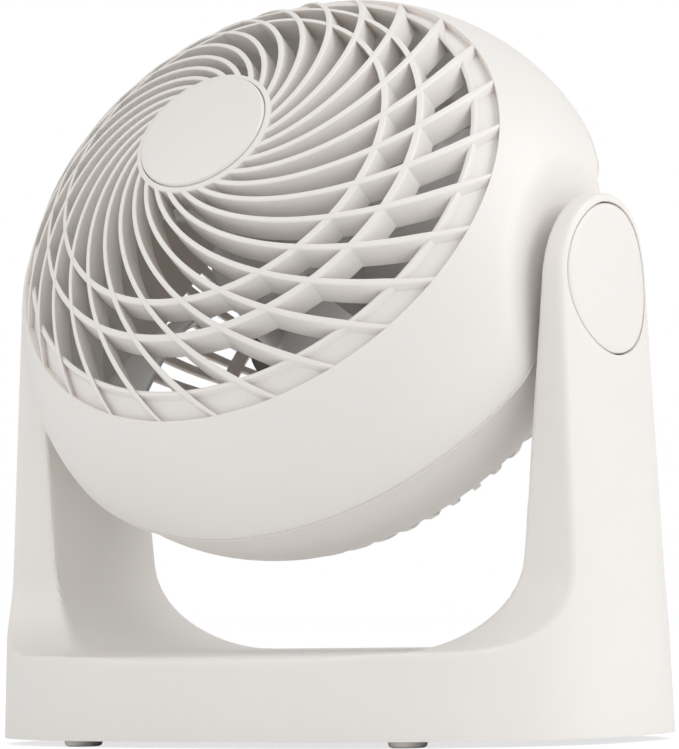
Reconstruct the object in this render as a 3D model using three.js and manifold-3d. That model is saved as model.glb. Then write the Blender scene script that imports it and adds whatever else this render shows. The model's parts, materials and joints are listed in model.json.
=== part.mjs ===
// Air circulator fan on a fixed U-shaped stand, in millimetres, +Z up.
// The origin lies on the floor, under the middle of the fan. The fan blows towards -Y and leans back
// by TILT.
// Stand pieces are drawn in the stand's frame: X across, Y towards the back, Z up, with the pivot
// above y = 0.
// Head pieces are drawn in the head's own frame: +Z out through the front grille, +Y up across the grille,
// X along the tilt pivot, with the origin on the pivot.
import * as THREE from "three";
import { mergeVertices } from "three/addons/utils/BufferGeometryUtils.js";
import Module from "manifold-3d";

const wasm = await Module();
wasm.setup();

// ---- driving dimensions -------------------------------------------------------------------------

const GAP = 0.3; // between pieces that rest on one another
const WALL = 2.4; // moulded walls
const REACH = 400; // longer than the fan, for cutters that pass right through

// head
const HEAD_RADIUS = 100; // front shell at the seam
const DOME_HEIGHT = 81; // front shell from the seam to its pole
const BOWL_STEP = 2.6; // rear shell in from the front shell at the seam
const BOWL_DEPTH = 67; // rear shell from the seam to its pole
const SEAM_Z = 4; // seam in front of the pivot
const FLAT_X = 91.3; // half the width over the two flattened sides of the head
const TILT = 35; // degrees above level

// front grille
const RIB_COUNT = 26;
const RIB_LEAN = 1.08; // tangent of the angle between a rib and the meridian
const RIB_START = 17; // degrees, where the first rib crosses RIB_START_RADIUS
const RIB_START_RADIUS = 40;
const RIB_THICKNESS = 1.7;
const RIB_DEPTH = 9.5;
const TIP_RADIUS = 84.7; // where the ribs run out on the dome
const THROAT_RADIUS = 77.3; // duct round the impeller
const THROAT_DROP = 3.2; // throat's edge under the dome
const DUCT_WALL = 1.8;
const DUCT_LENGTH = 44;
const RING_RADII = [56.6, 65.9]; // middle of the two rings
const RING_THICKNESS = 1.8;
const HUB_RADIUS = 23.6;
const BADGE_RADIUS = 21.6;
const BADGE_THICKNESS = 2.4;
const BADGE_RISE = 1.1; // badge's rim over the dome
const BADGE_CROWN = 0.8;
const PEG_RADIUS = 3; // behind the badge, in the hub plate
const PEG_LENGTH = 5;

// rear grille
const BOWL_BANDS = [0, 0.226, 0.431, 0.657, 0.903, 0.977]; // shares of the radius, straight between
const SLOT_COUNT = 26; // also the sides of the rear bowl
const SLOT_SPAN = [46, 85]; // inner and outer radius of the slots
const SLOT_OPEN = 0.62; // share of the pitch that is open
const LIP_HEIGHT = 4; // register lip at the seam
const LIP_WALL = 1.8;
const REAR_SCREW_SEAT = -10;

// motor and impeller
const MOTOR_RADIUS = 31;
const MOTOR_BACK = -44;
const MOTOR_LENGTH = 36;
const CAN_WALL = 1.6;
const MOTOR_POST_RADIUS = 3.8;
const STATOR_WALL = 11;
const STATOR_LENGTH = 18;
const AIR_GAP = 0.5;
const SHAFT_RADIUS = 3;
const BEARING_RADIUS = 7;
const BEARING_LENGTH = 6;
const RUNNING_GAP = 0.2; // shaft in its bearings, journal in its bush
const BLADE_COUNT = 5;
const BLADE_RADIUS = 73.5;
const BLADE_THICKNESS = 1.8;
const BLADE_PITCH_ROOT = 48; // degrees from the plane of rotation
const BLADE_PITCH_TIP = 27;
const BLADE_CHORD_ROOT = 34;
const BLADE_CHORD_TIP = 66;
const IMPELLER_HUB_RADIUS = 26;
const IMPELLER_HUB_LENGTH = 30;
const IMPELLER_FRONT = 34;
const NUT_RADIUS = 6.6;
const NUT_LENGTH = 9;

// speed switch
const KNOB_RADIUS = 14;
const KNOB_HEIGHT = 12;
const SWITCH_SIZE = [20, 16, 8];
const KNOB_BORE = 8;
const SPINDLE_RADIUS = 3;
const SPINDLE_DEPTH = 5;
const SWITCH_PAD = KNOB_RADIUS + 1;

// stand
const PIVOT_HEIGHT = 143;
const PIVOT_BACK = 8.3; // pivot behind the middle of the fan's footprint
const SIDE_GAP = 4.5; // from the head's flat side to the upright, at the pivot
const UPRIGHT_WIDTH = 10.55; // upright from its inner to its outer face, at the pivot
const STAND_TAPER = 0.05; // narrowing of each side per unit of height
const STAND_HALF_DEPTH = 66;
const PLAN_POWER = 2.7; // superellipse power of the plan outline
const SHELF_HEIGHT = 29;
const SHELF_EDGE = 4; // rounding of the shelf's long edges
const FRONT_LEAN = 1.5; // how far the long walls lean in up to the shelf
const SWEEP_RADIUS = 27; // hollow sweep from the shelf up to each upright
const UPRIGHT_HALF_DEPTH = 28.5;
const UPRIGHT_TOP_RADIUS = 26.5;
const INNER_LEAN = 0.082; // the gap between the uprights narrows downwards
const CORNER_RADIUS = 30; // inside corners between shelf and uprights
const PLATE_HEIGHT = 2.6; // base plate's underside over the floor
const PLATE_THICKNESS = 2;
const FOOT_RADIUS = 6;
const FOOT_SPREAD = [61, 52];
const POST_RADIUS = 4;
const SCREW_SHANK = 1.5;
const SCREW_HEAD = 3;
const SCREW_HEAD_HEIGHT = 2;
const SCREW_LENGTH = 10;
const BASE_SCREW_SPREAD = [52, 36];

// pivots
const CAP_RADIUS = 23.4;
const CAP_WALL = 2;
const CAP_SEAT = 4.4; // cap's rim under the outermost point of the upright
const CHAMBER_RADIUS = 19;
const PIVOT_BOSS_RADIUS = 14;
const PIVOT_BOSS_RISE = 1.2; // boss out of the upright's inner face
const PAD_RADIUS = 13;
const NECK_RADIUS = 8;
const FLANGE_RADIUS = 12;
const FLANGE_THICKNESS = 2.3;
const JOURNAL_RADIUS = 5;
const BUSH_WALL = 2;
const BUSH_FLANGE = 1;
const WEB_THICKNESS = 4.4;
const WASHER_RADIUS = 10;
const WASHER_THICKNESS = 0.9;
const PIVOT_SCREW_DEPTH = 11;

// cord inlet
const GLAND_HEIGHT = 13;
const GLAND_RADIUS = 4.6;
const GLAND_BORE = 2.8;
const GLAND_FLANGE = 7;

const ROUND = 44; // sides of the front cover
const HUB_ROUND = 24;
const CAP_ROUND = 22;
const MIDDLE_ROUND = 12;
const SMALL_ROUND = 8;
const SCREW_ROUND = 6; // screws, their holes and posts
const PLAN_STEPS = 36; // sides of the stand's plan
const INNER_PLAN_STEPS = 24; // sides of the plan inside the walls

// ---- materials ----------------------------------------------------------------------------------

const finish = (colour, roughness, metalness = 0) =>
  new THREE.MeshStandardMaterial({ color: colour, roughness, metalness });
const shellPlastic = finish(0xe6e3de, 0.42);
const badgePlastic = finish(0xecebe8, 0.35);
const bladePlastic = finish(0xdfe0de, 0.3);
const innerPlastic = finish(0xd6d3cd, 0.55);
const rubber = finish(0xcfcac4, 0.85);
const steel = finish(0x9a9ca0, 0.35, 1);
const darkSteel = finish(0x55585c, 0.45, 1);
const bronze = finish(0x9c7a4e, 0.4, 1);
const nylon = finish(0xf0eee8, 0.5);

// ---- solids -------------------------------------------------------------------------------------

function solid(geometry) {
  const bare = geometry.clone();
  bare.deleteAttribute("normal");
  bare.deleteAttribute("uv");
  const welded = mergeVertices(bare, 1e-4);
  const vertProperties = Float32Array.from(welded.attributes.position.array);
  const triVerts = Uint32Array.from(welded.index.array);
  const body = new wasm.Manifold(new wasm.Mesh({ numProp: 3, vertProperties, triVerts }));
  if (body.volume() > 0) return body;
  return new wasm.Manifold(new wasm.Mesh({ numProp: 3, vertProperties, triVerts: triVerts.reverse() }));
}

function geometryOf(body) {
  const mesh = body.getMesh();
  const geometry = new THREE.BufferGeometry();
  geometry.setAttribute("position", new THREE.BufferAttribute(mesh.vertProperties, 3));
  geometry.setIndex(new THREE.BufferAttribute(mesh.triVerts, 1));
  geometry.computeVertexNormals();
  return geometry;
}

const join = (bodies) => bodies.reduce((whole, body) => whole.add(body));
const cut = (body, cutters) => cutters.reduce((left, cutter) => left.subtract(cutter), body);

// A closed [radius, z] profile turned about Z. The profile runs counter-clockwise, axis on the left.
function turned(profile, sides = ROUND) {
  const outline = profile.map(([r, z]) => new THREE.Vector2(r, z));
  const first = outline[0];
  const last = outline[outline.length - 1];
  if (first.x > 0 || last.x > 0) outline.push(first.clone());
  return solid(new THREE.LatheGeometry(outline, sides).rotateX(Math.PI / 2));
}

// A rod or, with a bore, a ring about Z.
function rod(radius, z0, z1, sides = SMALL_ROUND, bore = 0) {
  return turned([[bore, z0], [radius, z0], [radius, z1], [bore, z1]], sides);
}

const alongX = (body) => body.rotate([0, 90, 0]);
const alongY = (body) => body.rotate([-90, 0, 0]);

function block(x0, x1, y0, y1, z0, z1) {
  const box = new THREE.BoxGeometry(x1 - x0, y1 - y0, z1 - z0);
  return solid(box.translate((x0 + x1) / 2, (y0 + y1) / 2, (z0 + z1) / 2));
}

// A shape drawn in X and Y, pulled up from z0 to z1.
function pulledUp(shape, z0, z1, curveSegments = 8) {
  const geometry = new THREE.ExtrudeGeometry(shape, { depth: z1 - z0, bevelEnabled: false, curveSegments });
  return geometry.translate(0, 0, z0);
}

// A shape drawn in Y and Z, pulled across the whole fan along X.
function pulledAcross(shape, curveSegments = 3) {
  const geometry = pulledUp(shape, -REACH / 2, REACH / 2, curveSegments);
  return solid(geometry.rotateX(Math.PI / 2).rotateZ(Math.PI / 2));
}

// A shape drawn in X and Z, pulled through the whole fan along Y.
function pulledThrough(shape, curveSegments = 4) {
  return solid(pulledUp(shape, -REACH / 2, REACH / 2, curveSegments).rotateX(Math.PI / 2));
}

function screw(length) {
  const head = SCREW_HEAD_HEIGHT;
  return turned([
    [0, -head], [SCREW_HEAD, -head], [SCREW_HEAD, 0], [SCREW_SHANK, 0], [SCREW_SHANK, length], [0, length],
  ], SCREW_ROUND);
}

// ---- head surfaces ------------------------------------------------------------------------------

const bowlRadius = HEAD_RADIUS - BOWL_STEP;
const domeZ = (radius) => SEAM_Z + DOME_HEIGHT * Math.sqrt(Math.max(0, 1 - (radius / HEAD_RADIUS) ** 2));
const bowlZ = (radius, inset = 0) => {
  const depth = BOWL_DEPTH - inset;
  const share = radius / (bowlRadius - inset);
  return SEAM_Z - depth * Math.sqrt(Math.max(0, 1 - share * share));
};

// Points of an elliptic arc from angle a0 to a1 (degrees, 0 at the seam, 90 at the pole).
function arc(radius, height, a0, a1, steps) {
  return Array.from({ length: steps + 1 }, (_, i) => {
    const angle = THREE.MathUtils.degToRad(a0 + ((a1 - a0) * i) / steps);
    const r = Math.abs(angle - Math.PI / 2) < 1e-9 ? 0 : radius * Math.cos(angle);
    return [r, SEAM_Z + height * Math.sin(angle)];
  });
}

const betweenFlats = (halfWidth) => block(-halfWidth, halfWidth, -REACH, REACH, -REACH, REACH);
const angleAt = (radius, span) => THREE.MathUtils.radToDeg(Math.acos(radius / span));

// Angle round the axis at which a rib passes a radius: the rib keeps one angle to the dome's meridians.
function ribAngle(radius) {
  const steps = 24;
  const step = (radius - RIB_START_RADIUS) / steps;
  let turn = THREE.MathUtils.degToRad(RIB_START);
  for (let i = 0; i < steps; i++) {
    const r = RIB_START_RADIUS + (i + 0.5) * step;
    const share = r / HEAD_RADIUS;
    const slope = (DOME_HEIGHT / HEAD_RADIUS) * share / Math.sqrt(1 - share * share);
    turn += (RIB_LEAN * Math.hypot(1, slope) * step) / r;
  }
  return turn;
}

// One spiral rib: a bar whose top edge lies in the dome. Past the throat its foot rises to meet the tip.
function spiralRib(index) {
  const steps = 5;
  const bar = new THREE.BoxGeometry(1, 1, 1, steps, 1, 1);
  const place = bar.attributes.position;
  const inner = HUB_RADIUS - RING_THICKNESS / 2;
  for (let i = 0; i < place.count; i++) {
    const along = place.getX(i) + 0.5;
    const radius = inner + along * (TIP_RADIUS - inner);
    const turn = ribAngle(radius) + (index * 2 * Math.PI) / RIB_COUNT;
    const ahead = ribAngle(radius + 0.5) - ribAngle(radius - 0.5);
    const heading = turn + Math.atan(radius * ahead);
    const tip = THREE.MathUtils.smoothstep(radius, THROAT_RADIUS, TIP_RADIUS);
    const half = (RIB_THICKNESS / 2) * (1 - 0.75 * tip);
    const depth = THREE.MathUtils.lerp(RIB_DEPTH, THROAT_DROP, tip);
    const side = place.getZ(i) > 0 ? half : -half;
    const z = domeZ(radius) - (place.getY(i) > 0 ? 0 : depth);
    place.setXYZ(i,
      radius * Math.cos(turn) + side * Math.sin(heading),
      radius * Math.sin(turn) - side * Math.cos(heading), z);
  }
  return solid(bar);
}

// Turns a body with one side per rib until its corners lie in the ribs.
const underRibs = (body, radius) => body.rotate([0, 0, THREE.MathUtils.radToDeg(ribAngle(radius))]);

// ---- front cover --------------------------------------------------------------------------------

const screwAngles = [45, 135, 225, 315].map(THREE.MathUtils.degToRad);
const screwCircle = (THROAT_RADIUS + DUCT_WALL + HEAD_RADIUS - WALL) / 2;
const onScrewCircle = (body, angle) =>
  body.translate([screwCircle * Math.cos(angle), screwCircle * Math.sin(angle), 0]);
const screwHole = (z0, z1) => rod(SCREW_SHANK + GAP, z0, z1, SCREW_ROUND);

// Room for the trunnions: a hole for the neck and, inside the wall, for the flange.
function trunnionRoom(sign) {
  const wallX = FLAT_X - WALL;
  const neck = rod(NECK_RADIUS + GAP, wallX - 1, FLAT_X + 1, MIDDLE_ROUND);
  const flange = rod(FLANGE_RADIUS + GAP, wallX - FLANGE_THICKNESS - 2 * GAP, wallX, MIDDLE_ROUND);
  return alongX(neck.add(flange)).rotate([0, sign > 0 ? 0 : 180, 0]);
}

const throatZ = domeZ(THROAT_RADIUS) - THROAT_DROP;
const badgeRimZ = domeZ(BADGE_RADIUS) + BADGE_RISE;
const hubPlateZ = badgeRimZ - BADGE_THICKNESS - GAP;

function frontCover() {
  const inner = HEAD_RADIUS - WALL;
  const ductOut = THROAT_RADIUS + DUCT_WALL;
  const tipAngle = angleAt(TIP_RADIUS, HEAD_RADIUS);
  const dome = turned([
    [0, SEAM_Z], ...arc(HEAD_RADIUS, DOME_HEIGHT, 0, tipAngle, 4),
    [THROAT_RADIUS - 1, throatZ], [0, throatZ],
  ]).intersect(betweenFlats(FLAT_X));
  const shellTop = arc(inner, DOME_HEIGHT - WALL, 0, angleAt(TIP_RADIUS - WALL, inner), 3);
  const hollow = turned([
    [ductOut, SEAM_Z - 1], [inner, SEAM_Z - 1], ...shellTop, [ductOut, throatZ - WALL],
  ], HUB_ROUND).intersect(betweenFlats(FLAT_X - WALL));
  const shell = cut(dome, [
    underRibs(rod(THROAT_RADIUS, SEAM_Z - 1, REACH, RIB_COUNT), THROAT_RADIUS),
    hollow,
    rod(ductOut + 1, SEAM_Z - 1, throatZ - DUCT_LENGTH, HUB_ROUND),
  ]);
  const post = rod(POST_RADIUS, SEAM_Z + GAP / 2, domeZ(screwCircle), SCREW_ROUND);
  const posts = screwAngles.map((angle) => onScrewCircle(post, angle).intersect(dome));
  const hole = screwHole(SEAM_Z - 1, SEAM_Z + SCREW_LENGTH);
  const holes = screwAngles.map((angle) => onScrewCircle(hole, angle));
  const rings = RING_RADII.map((middle) => {
    const [r0, r1] = [middle - RING_THICKNESS / 2, middle + RING_THICKNESS / 2];
    const foot = domeZ(middle) - RIB_DEPTH + GAP;
    const ring = turned([[r0, foot], [r1, foot], [r1, domeZ(r1) - GAP], [r0, domeZ(r0) - GAP]], RIB_COUNT);
    return underRibs(ring, middle);
  });
  const hubIn = BADGE_RADIUS + GAP;
  const pegIn = PEG_RADIUS + GAP;
  const hubZ = domeZ(HUB_RADIUS);
  const hub = turned([
    [pegIn, hubPlateZ - WALL], [hubIn - 1, hubPlateZ - WALL], [hubIn, hubZ - RIB_DEPTH],
    [HUB_RADIUS, hubZ - RIB_DEPTH], [HUB_RADIUS, hubZ], [hubIn, domeZ(hubIn) + GAP],
    [hubIn, hubPlateZ], [pegIn, hubPlateZ],
  ], RIB_COUNT);
  const ribs = Array.from({ length: RIB_COUNT }, (_, i) => spiralRib(i));
  const whole = join([shell, ...posts, underRibs(hub, HUB_RADIUS), ...rings, ...ribs]);
  return cut(whole, [...holes, trunnionRoom(1), trunnionRoom(-1)]);
}

function hubBadge() {
  const foot = badgeRimZ - BADGE_THICKNESS;
  const edge = 0.5;
  return turned([
    [0, foot - PEG_LENGTH], [PEG_RADIUS, foot - PEG_LENGTH], [PEG_RADIUS, foot], [BADGE_RADIUS, foot],
    [BADGE_RADIUS, badgeRimZ - edge], [BADGE_RADIUS - edge, badgeRimZ],
    [BADGE_RADIUS * 0.6, badgeRimZ + BADGE_CROWN * 0.6], [0, badgeRimZ + BADGE_CROWN],
  ], HUB_ROUND);
}

// ---- rear housing -------------------------------------------------------------------------------

const motorFlange = MOTOR_RADIUS + 2 * MOTOR_POST_RADIUS;
const motorPostCircle = MOTOR_RADIUS + MOTOR_POST_RADIUS;
const motorPostAngles = [90, 210, 330].map(THREE.MathUtils.degToRad);
const onMotorCircle = (body, angle) =>
  body.translate([motorPostCircle * Math.cos(angle), motorPostCircle * Math.sin(angle), 0]);
const switchPadZ = bowlZ(SWITCH_PAD, WALL) + 1;

function slot(r0, r1, angle) {
  const half = (SLOT_OPEN * Math.PI) / SLOT_COUNT;
  const shape = new THREE.Shape();
  shape.absarc(0, 0, r1, angle - half, angle + half, false);
  shape.absarc(0, 0, r0, angle + half, angle - half, true);
  return solid(pulledUp(shape, -REACH / 2, bowlZ(r1) + 6, 1));
}

// The rear shell's section below the seam, drawn in all round by inset.
const bowlProfile = (inset) => BOWL_BANDS.map((share) => {
  const radius = share * (bowlRadius - inset);
  return [radius, bowlZ(radius, inset)];
});

function rearHousing() {
  const top = SEAM_Z - GAP;
  const bowl = turned([...bowlProfile(0), [bowlRadius, top], [0, top]], SLOT_COUNT)
    .intersect(betweenFlats(FLAT_X));
  const inside = turned([
    ...bowlProfile(WALL), [bowlRadius - WALL, SEAM_Z + 1], [0, SEAM_Z + 1],
  ], SLOT_COUNT).intersect(betweenFlats(FLAT_X - WALL));
  const lipOut = bowlRadius - 1;
  const lip = rod(lipOut, SEAM_Z - 3, SEAM_Z + LIP_HEIGHT, SLOT_COUNT, lipOut - LIP_WALL)
    .intersect(betweenFlats(FLAT_X - WALL - GAP));
  const slots = Array.from({ length: SLOT_COUNT }, (_, i) =>
    slot(...SLOT_SPAN, ((i + 0.5) * 2 * Math.PI) / SLOT_COUNT));
  const shell = cut(bowl.subtract(inside), slots);
  const posts = screwAngles.map((angle) =>
    onScrewCircle(rod(POST_RADIUS, -REACH, SEAM_Z - GAP / 2, SCREW_ROUND), angle).intersect(bowl));
  const motorPosts = motorPostAngles.map((angle) =>
    onMotorCircle(rod(MOTOR_POST_RADIUS, -REACH, MOTOR_BACK - GAP, SCREW_ROUND), angle).intersect(bowl));
  const pad = rod(SWITCH_PAD, -REACH, switchPadZ, MIDDLE_ROUND).intersect(bowl);
  const holes = screwAngles.flatMap((angle) => [
    onScrewCircle(screwHole(-REACH, SEAM_Z + 1), angle),
    onScrewCircle(rod(SCREW_HEAD + GAP, -REACH, REAR_SCREW_SEAT, SCREW_ROUND), angle),
  ]);
  const motorHoles = motorPostAngles.map((angle) =>
    onMotorCircle(screwHole(MOTOR_BACK - SCREW_LENGTH, MOTOR_BACK), angle));
  const spindleHole = rod(SPINDLE_RADIUS + GAP, -REACH, switchPadZ + 1);
  return cut(join([shell, lip, ...posts, ...motorPosts, pad]), [
    ...holes, ...motorHoles, spindleHole, trunnionRoom(1), trunnionRoom(-1),
  ]);
}

// ---- motor, impeller and speed switch -----------------------------------------------------------

const motorMiddle = MOTOR_BACK + MOTOR_LENGTH / 2;
const statorRadius = MOTOR_RADIUS - CAN_WALL - GAP;
const rotorRadius = statorRadius - STATOR_WALL - AIR_GAP;

// Half of the motor's case, open towards +Z, with the bearing's seat and, if asked for, a mounting flange.
function motorCan(flangeRadius) {
  const seatIn = BEARING_RADIUS + GAP;
  const seatOut = seatIn + CAN_WALL;
  const floor = MOTOR_BACK + CAN_WALL;
  const rim = motorMiddle - GAP / 2;
  const seatTop = floor + BEARING_LENGTH;
  return turned([
    [SHAFT_RADIUS + 1, MOTOR_BACK], [flangeRadius, MOTOR_BACK], [flangeRadius, floor],
    [MOTOR_RADIUS, floor],
    [MOTOR_RADIUS, rim], [MOTOR_RADIUS - CAN_WALL, rim], [MOTOR_RADIUS - CAN_WALL, floor], [seatOut, floor],
    [seatOut, seatTop], [seatIn, seatTop], [seatIn, floor], [SHAFT_RADIUS + 1, floor],
  ], MIDDLE_ROUND);
}

const mirrored = (body) => body.mirror([0, 0, 1]).translate([0, 0, 2 * motorMiddle]);

function rearCan() {
  return cut(motorCan(motorFlange), motorPostAngles.map((angle) =>
    onMotorCircle(screwHole(MOTOR_BACK - 1, MOTOR_BACK + CAN_WALL + 1), angle)));
}

const frontCan = () => mirrored(motorCan(MOTOR_RADIUS + CAN_WALL));

function bearing() {
  const z0 = MOTOR_BACK + CAN_WALL + GAP;
  return rod(BEARING_RADIUS, z0, z0 + BEARING_LENGTH, MIDDLE_ROUND, SHAFT_RADIUS + RUNNING_GAP);
}

const core = (radius, bore) => rod(
  radius, motorMiddle - STATOR_LENGTH / 2, motorMiddle + STATOR_LENGTH / 2, MIDDLE_ROUND, bore);
const stator = () => core(statorRadius, rotorRadius + AIR_GAP);
const rotorCore = () => core(rotorRadius, SHAFT_RADIUS + GAP);
const nutZ = IMPELLER_FRONT + GAP;
const shaft = () => rod(SHAFT_RADIUS, MOTOR_BACK - 1, nutZ + NUT_LENGTH - 1, MIDDLE_ROUND);
const impellerNut = () => rod(NUT_RADIUS, nutZ, nutZ + NUT_LENGTH, 6)
  .subtract(rod(SHAFT_RADIUS + GAP, nutZ - 1, nutZ + NUT_LENGTH + 1, MIDDLE_ROUND));

// A twisted, cambered blade wrapped round the shaft's axis.
function blade(index) {
  const sheet = new THREE.BoxGeometry(1, 1, 1, 5, 1, 3);
  const place = sheet.attributes.position;
  const root = IMPELLER_HUB_RADIUS - 1.2;
  const middle = IMPELLER_FRONT - IMPELLER_HUB_LENGTH / 2;
  const camber = 0.07;
  const skew = 0.2;
  for (let i = 0; i < place.count; i++) {
    const out = place.getX(i) + 0.5;
    const across = place.getZ(i) * 2;
    const radius = THREE.MathUtils.lerp(root, BLADE_RADIUS, out);
    const chord = THREE.MathUtils.lerp(BLADE_CHORD_ROOT, BLADE_CHORD_TIP, Math.sin((out * Math.PI) / 2));
    const pitch = THREE.MathUtils.degToRad(THREE.MathUtils.lerp(BLADE_PITCH_ROOT, BLADE_PITCH_TIP, out));
    const skin = (place.getY(i) * BLADE_THICKNESS) * (1 - 0.4 * Math.abs(across));
    const along = (across * chord) / 2;
    const lift = camber * chord * (1 - across * across) + skin;
    const turn = (along * Math.cos(pitch) - lift * Math.sin(pitch)) / radius + skew * out * out
      + (index * 2 * Math.PI) / BLADE_COUNT;
    place.setXYZ(i, radius * Math.cos(turn), radius * Math.sin(turn),
      middle + along * Math.sin(pitch) + lift * Math.cos(pitch));
  }
  return solid(sheet);
}

function impeller() {
  const back = IMPELLER_FRONT - IMPELLER_HUB_LENGTH;
  const under = IMPELLER_FRONT - 6;
  const bore = SHAFT_RADIUS + GAP;
  const nose = turned([
    [0, back], [IMPELLER_HUB_RADIUS, back], [IMPELLER_HUB_RADIUS, IMPELLER_FRONT - 5],
    [IMPELLER_HUB_RADIUS - 4, IMPELLER_FRONT - 1], [IMPELLER_HUB_RADIUS - 8, IMPELLER_FRONT],
    [0, IMPELLER_FRONT],
  ], MIDDLE_ROUND);
  const hollow = rod(IMPELLER_HUB_RADIUS - WALL, back - REACH, under, MIDDLE_ROUND);
  const boss = rod(bore + WALL, back + 8, under + WALL / 2, MIDDLE_ROUND);
  const blades = Array.from({ length: BLADE_COUNT }, (_, i) => blade(i));
  const bored = rod(bore, back, REACH, MIDDLE_ROUND);
  return join([nose, ...blades]).subtract(hollow).add(boss).subtract(bored);
}

const switchFaceZ = switchPadZ + GAP;
const knobFaceZ = bowlZ(0) - 2 * GAP;

function speedSwitch() {
  const [width, height, depth] = SWITCH_SIZE;
  return block(-width / 2, width / 2, -height / 2, height / 2, switchFaceZ, switchFaceZ + depth)
    .subtract(rod(SPINDLE_RADIUS + GAP, switchFaceZ - 1, switchFaceZ + SPINDLE_DEPTH));
}

const switchSpindle = () => rod(
  SPINDLE_RADIUS, knobFaceZ - KNOB_BORE + GAP, switchFaceZ + SPINDLE_DEPTH - GAP);

function speedKnob() {
  const back = knobFaceZ - KNOB_HEIGHT;
  const skirt = turned([
    [0, back], [KNOB_RADIUS - 2, back], [KNOB_RADIUS - 0.6, back + 1.4],
    [KNOB_RADIUS, knobFaceZ], [0, knobFaceZ],
  ], HUB_ROUND);
  const pointer = block(-1.4, 1.4, 0, KNOB_RADIUS - 1, back - 1.2, back + 1);
  return cut(skirt.add(pointer), [rod(SPINDLE_RADIUS + GAP, knobFaceZ - KNOB_BORE, knobFaceZ + 1)]);
}

// ---- trunnions and tilt pivots ------------------------------------------------------------------

const innerHalfWidth = FLAT_X + SIDE_GAP;
const standHalfWidth = innerHalfWidth + UPRIGHT_WIDTH + STAND_TAPER * PIVOT_HEIGHT; // at the floor
const bossX = innerHalfWidth - PIVOT_BOSS_RISE;
const flangeX = FLAT_X - WALL - GAP - FLANGE_THICKNESS;
const padX = FLAT_X + GAP;
const padEndX = bossX - 1.3 * GAP;
const webEndX = bossX + WEB_THICKNESS;
const bushFlangeX = webEndX + GAP;
const journalEndX = bushFlangeX + BUSH_FLANGE + GAP;
const washerX = journalEndX + GAP;
const pivotScrewX = washerX + WASHER_THICKNESS + GAP;

function trunnion() {
  const body = turned([
    [0, flangeX], [FLANGE_RADIUS, flangeX], [FLANGE_RADIUS, flangeX + FLANGE_THICKNESS],
    [NECK_RADIUS, flangeX + FLANGE_THICKNESS], [NECK_RADIUS, padX], [PAD_RADIUS, padX], [PAD_RADIUS, padEndX],
    [JOURNAL_RADIUS, padEndX], [JOURNAL_RADIUS, journalEndX], [0, journalEndX],
  ], MIDDLE_ROUND);
  return body.subtract(screwHole(journalEndX - PIVOT_SCREW_DEPTH, journalEndX + 1));
}

function pivotBush() {
  const inside = JOURNAL_RADIUS + RUNNING_GAP;
  const outside = inside + BUSH_WALL;
  const brim = outside + BUSH_WALL;
  return turned([
    [inside, bossX + GAP], [outside, bossX + GAP], [outside, bushFlangeX], [brim, bushFlangeX],
    [brim, bushFlangeX + BUSH_FLANGE], [inside, bushFlangeX + BUSH_FLANGE],
  ], MIDDLE_ROUND);
}

const pivotWasher = () => rod(
  WASHER_RADIUS, washerX, washerX + WASHER_THICKNESS, MIDDLE_ROUND, SCREW_SHANK + GAP);
const pivotScrew = () => screw(PIVOT_SCREW_DEPTH - 1).mirror([0, 0, 1]).translate([0, 0, pivotScrewX]);

// ---- stand --------------------------------------------------------------------------------------

const outerHalfWidth = (z) => standHalfWidth - STAND_TAPER * z;
const hoodFoot = PLATE_HEIGHT - 2 * GAP;

function superellipse(halfWidth, halfDepth, steps) {
  const power = 2 / PLAN_POWER;
  return new THREE.Shape(Array.from({ length: steps }, (_, i) => {
    const [c, s] = [Math.cos((i * 2 * Math.PI) / steps), Math.sin((i * 2 * Math.PI) / steps)];
    return new THREE.Vector2(
      halfWidth * Math.sign(c) * Math.abs(c) ** power, halfDepth * Math.sign(s) * Math.abs(s) ** power);
  }));
}

// The stand's plan, drawn in all round by inset, rising from z0 with the taper of its sides.
function taperedPlan(inset, z0) {
  const halfWidth = standHalfWidth - inset;
  const steps = inset > 0 ? INNER_PLAN_STEPS : PLAN_STEPS;
  const tower = pulledUp(superellipse(halfWidth, STAND_HALF_DEPTH - inset, steps), z0, REACH);
  const place = tower.attributes.position;
  for (let i = 0; i < place.count; i++) {
    place.setX(i, place.getX(i) * (1 - (STAND_TAPER * place.getZ(i)) / halfWidth));
  }
  return solid(tower);
}

// The stand seen from the side: shelf, hollow sweeps, uprights and their round tops.
function sideOutline(inset, z0) {
  const half = UPRIGHT_HALF_DEPTH - inset;
  const shelf = SHELF_HEIGHT - inset;
  const sweep = SWEEP_RADIUS + inset;
  const sweepMiddle = [UPRIGHT_HALF_DEPTH + SWEEP_RADIUS, SHELF_HEIGHT + SWEEP_RADIUS];
  const edge = SHELF_EDGE - inset / 2;
  const wall = STAND_HALF_DEPTH - inset - FRONT_LEAN;
  const shape = new THREE.Shape();
  shape.moveTo(STAND_HALF_DEPTH - inset, z0);
  shape.lineTo(wall, shelf - edge);
  shape.absarc(wall - edge, shelf - edge, edge, 0, Math.PI / 2, false);
  shape.absarc(sweepMiddle[0], sweepMiddle[1], sweep, -Math.PI / 2, -Math.PI, true);
  shape.absarc(0, PIVOT_HEIGHT, UPRIGHT_TOP_RADIUS - inset, 0, Math.PI, false);
  shape.absarc(-sweepMiddle[0], sweepMiddle[1], sweep, 0, -Math.PI / 2, true);
  shape.absarc(edge - wall, shelf - edge, edge, Math.PI / 2, Math.PI, false);
  shape.lineTo(inset - STAND_HALF_DEPTH, z0);
  return shape;
}

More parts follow.
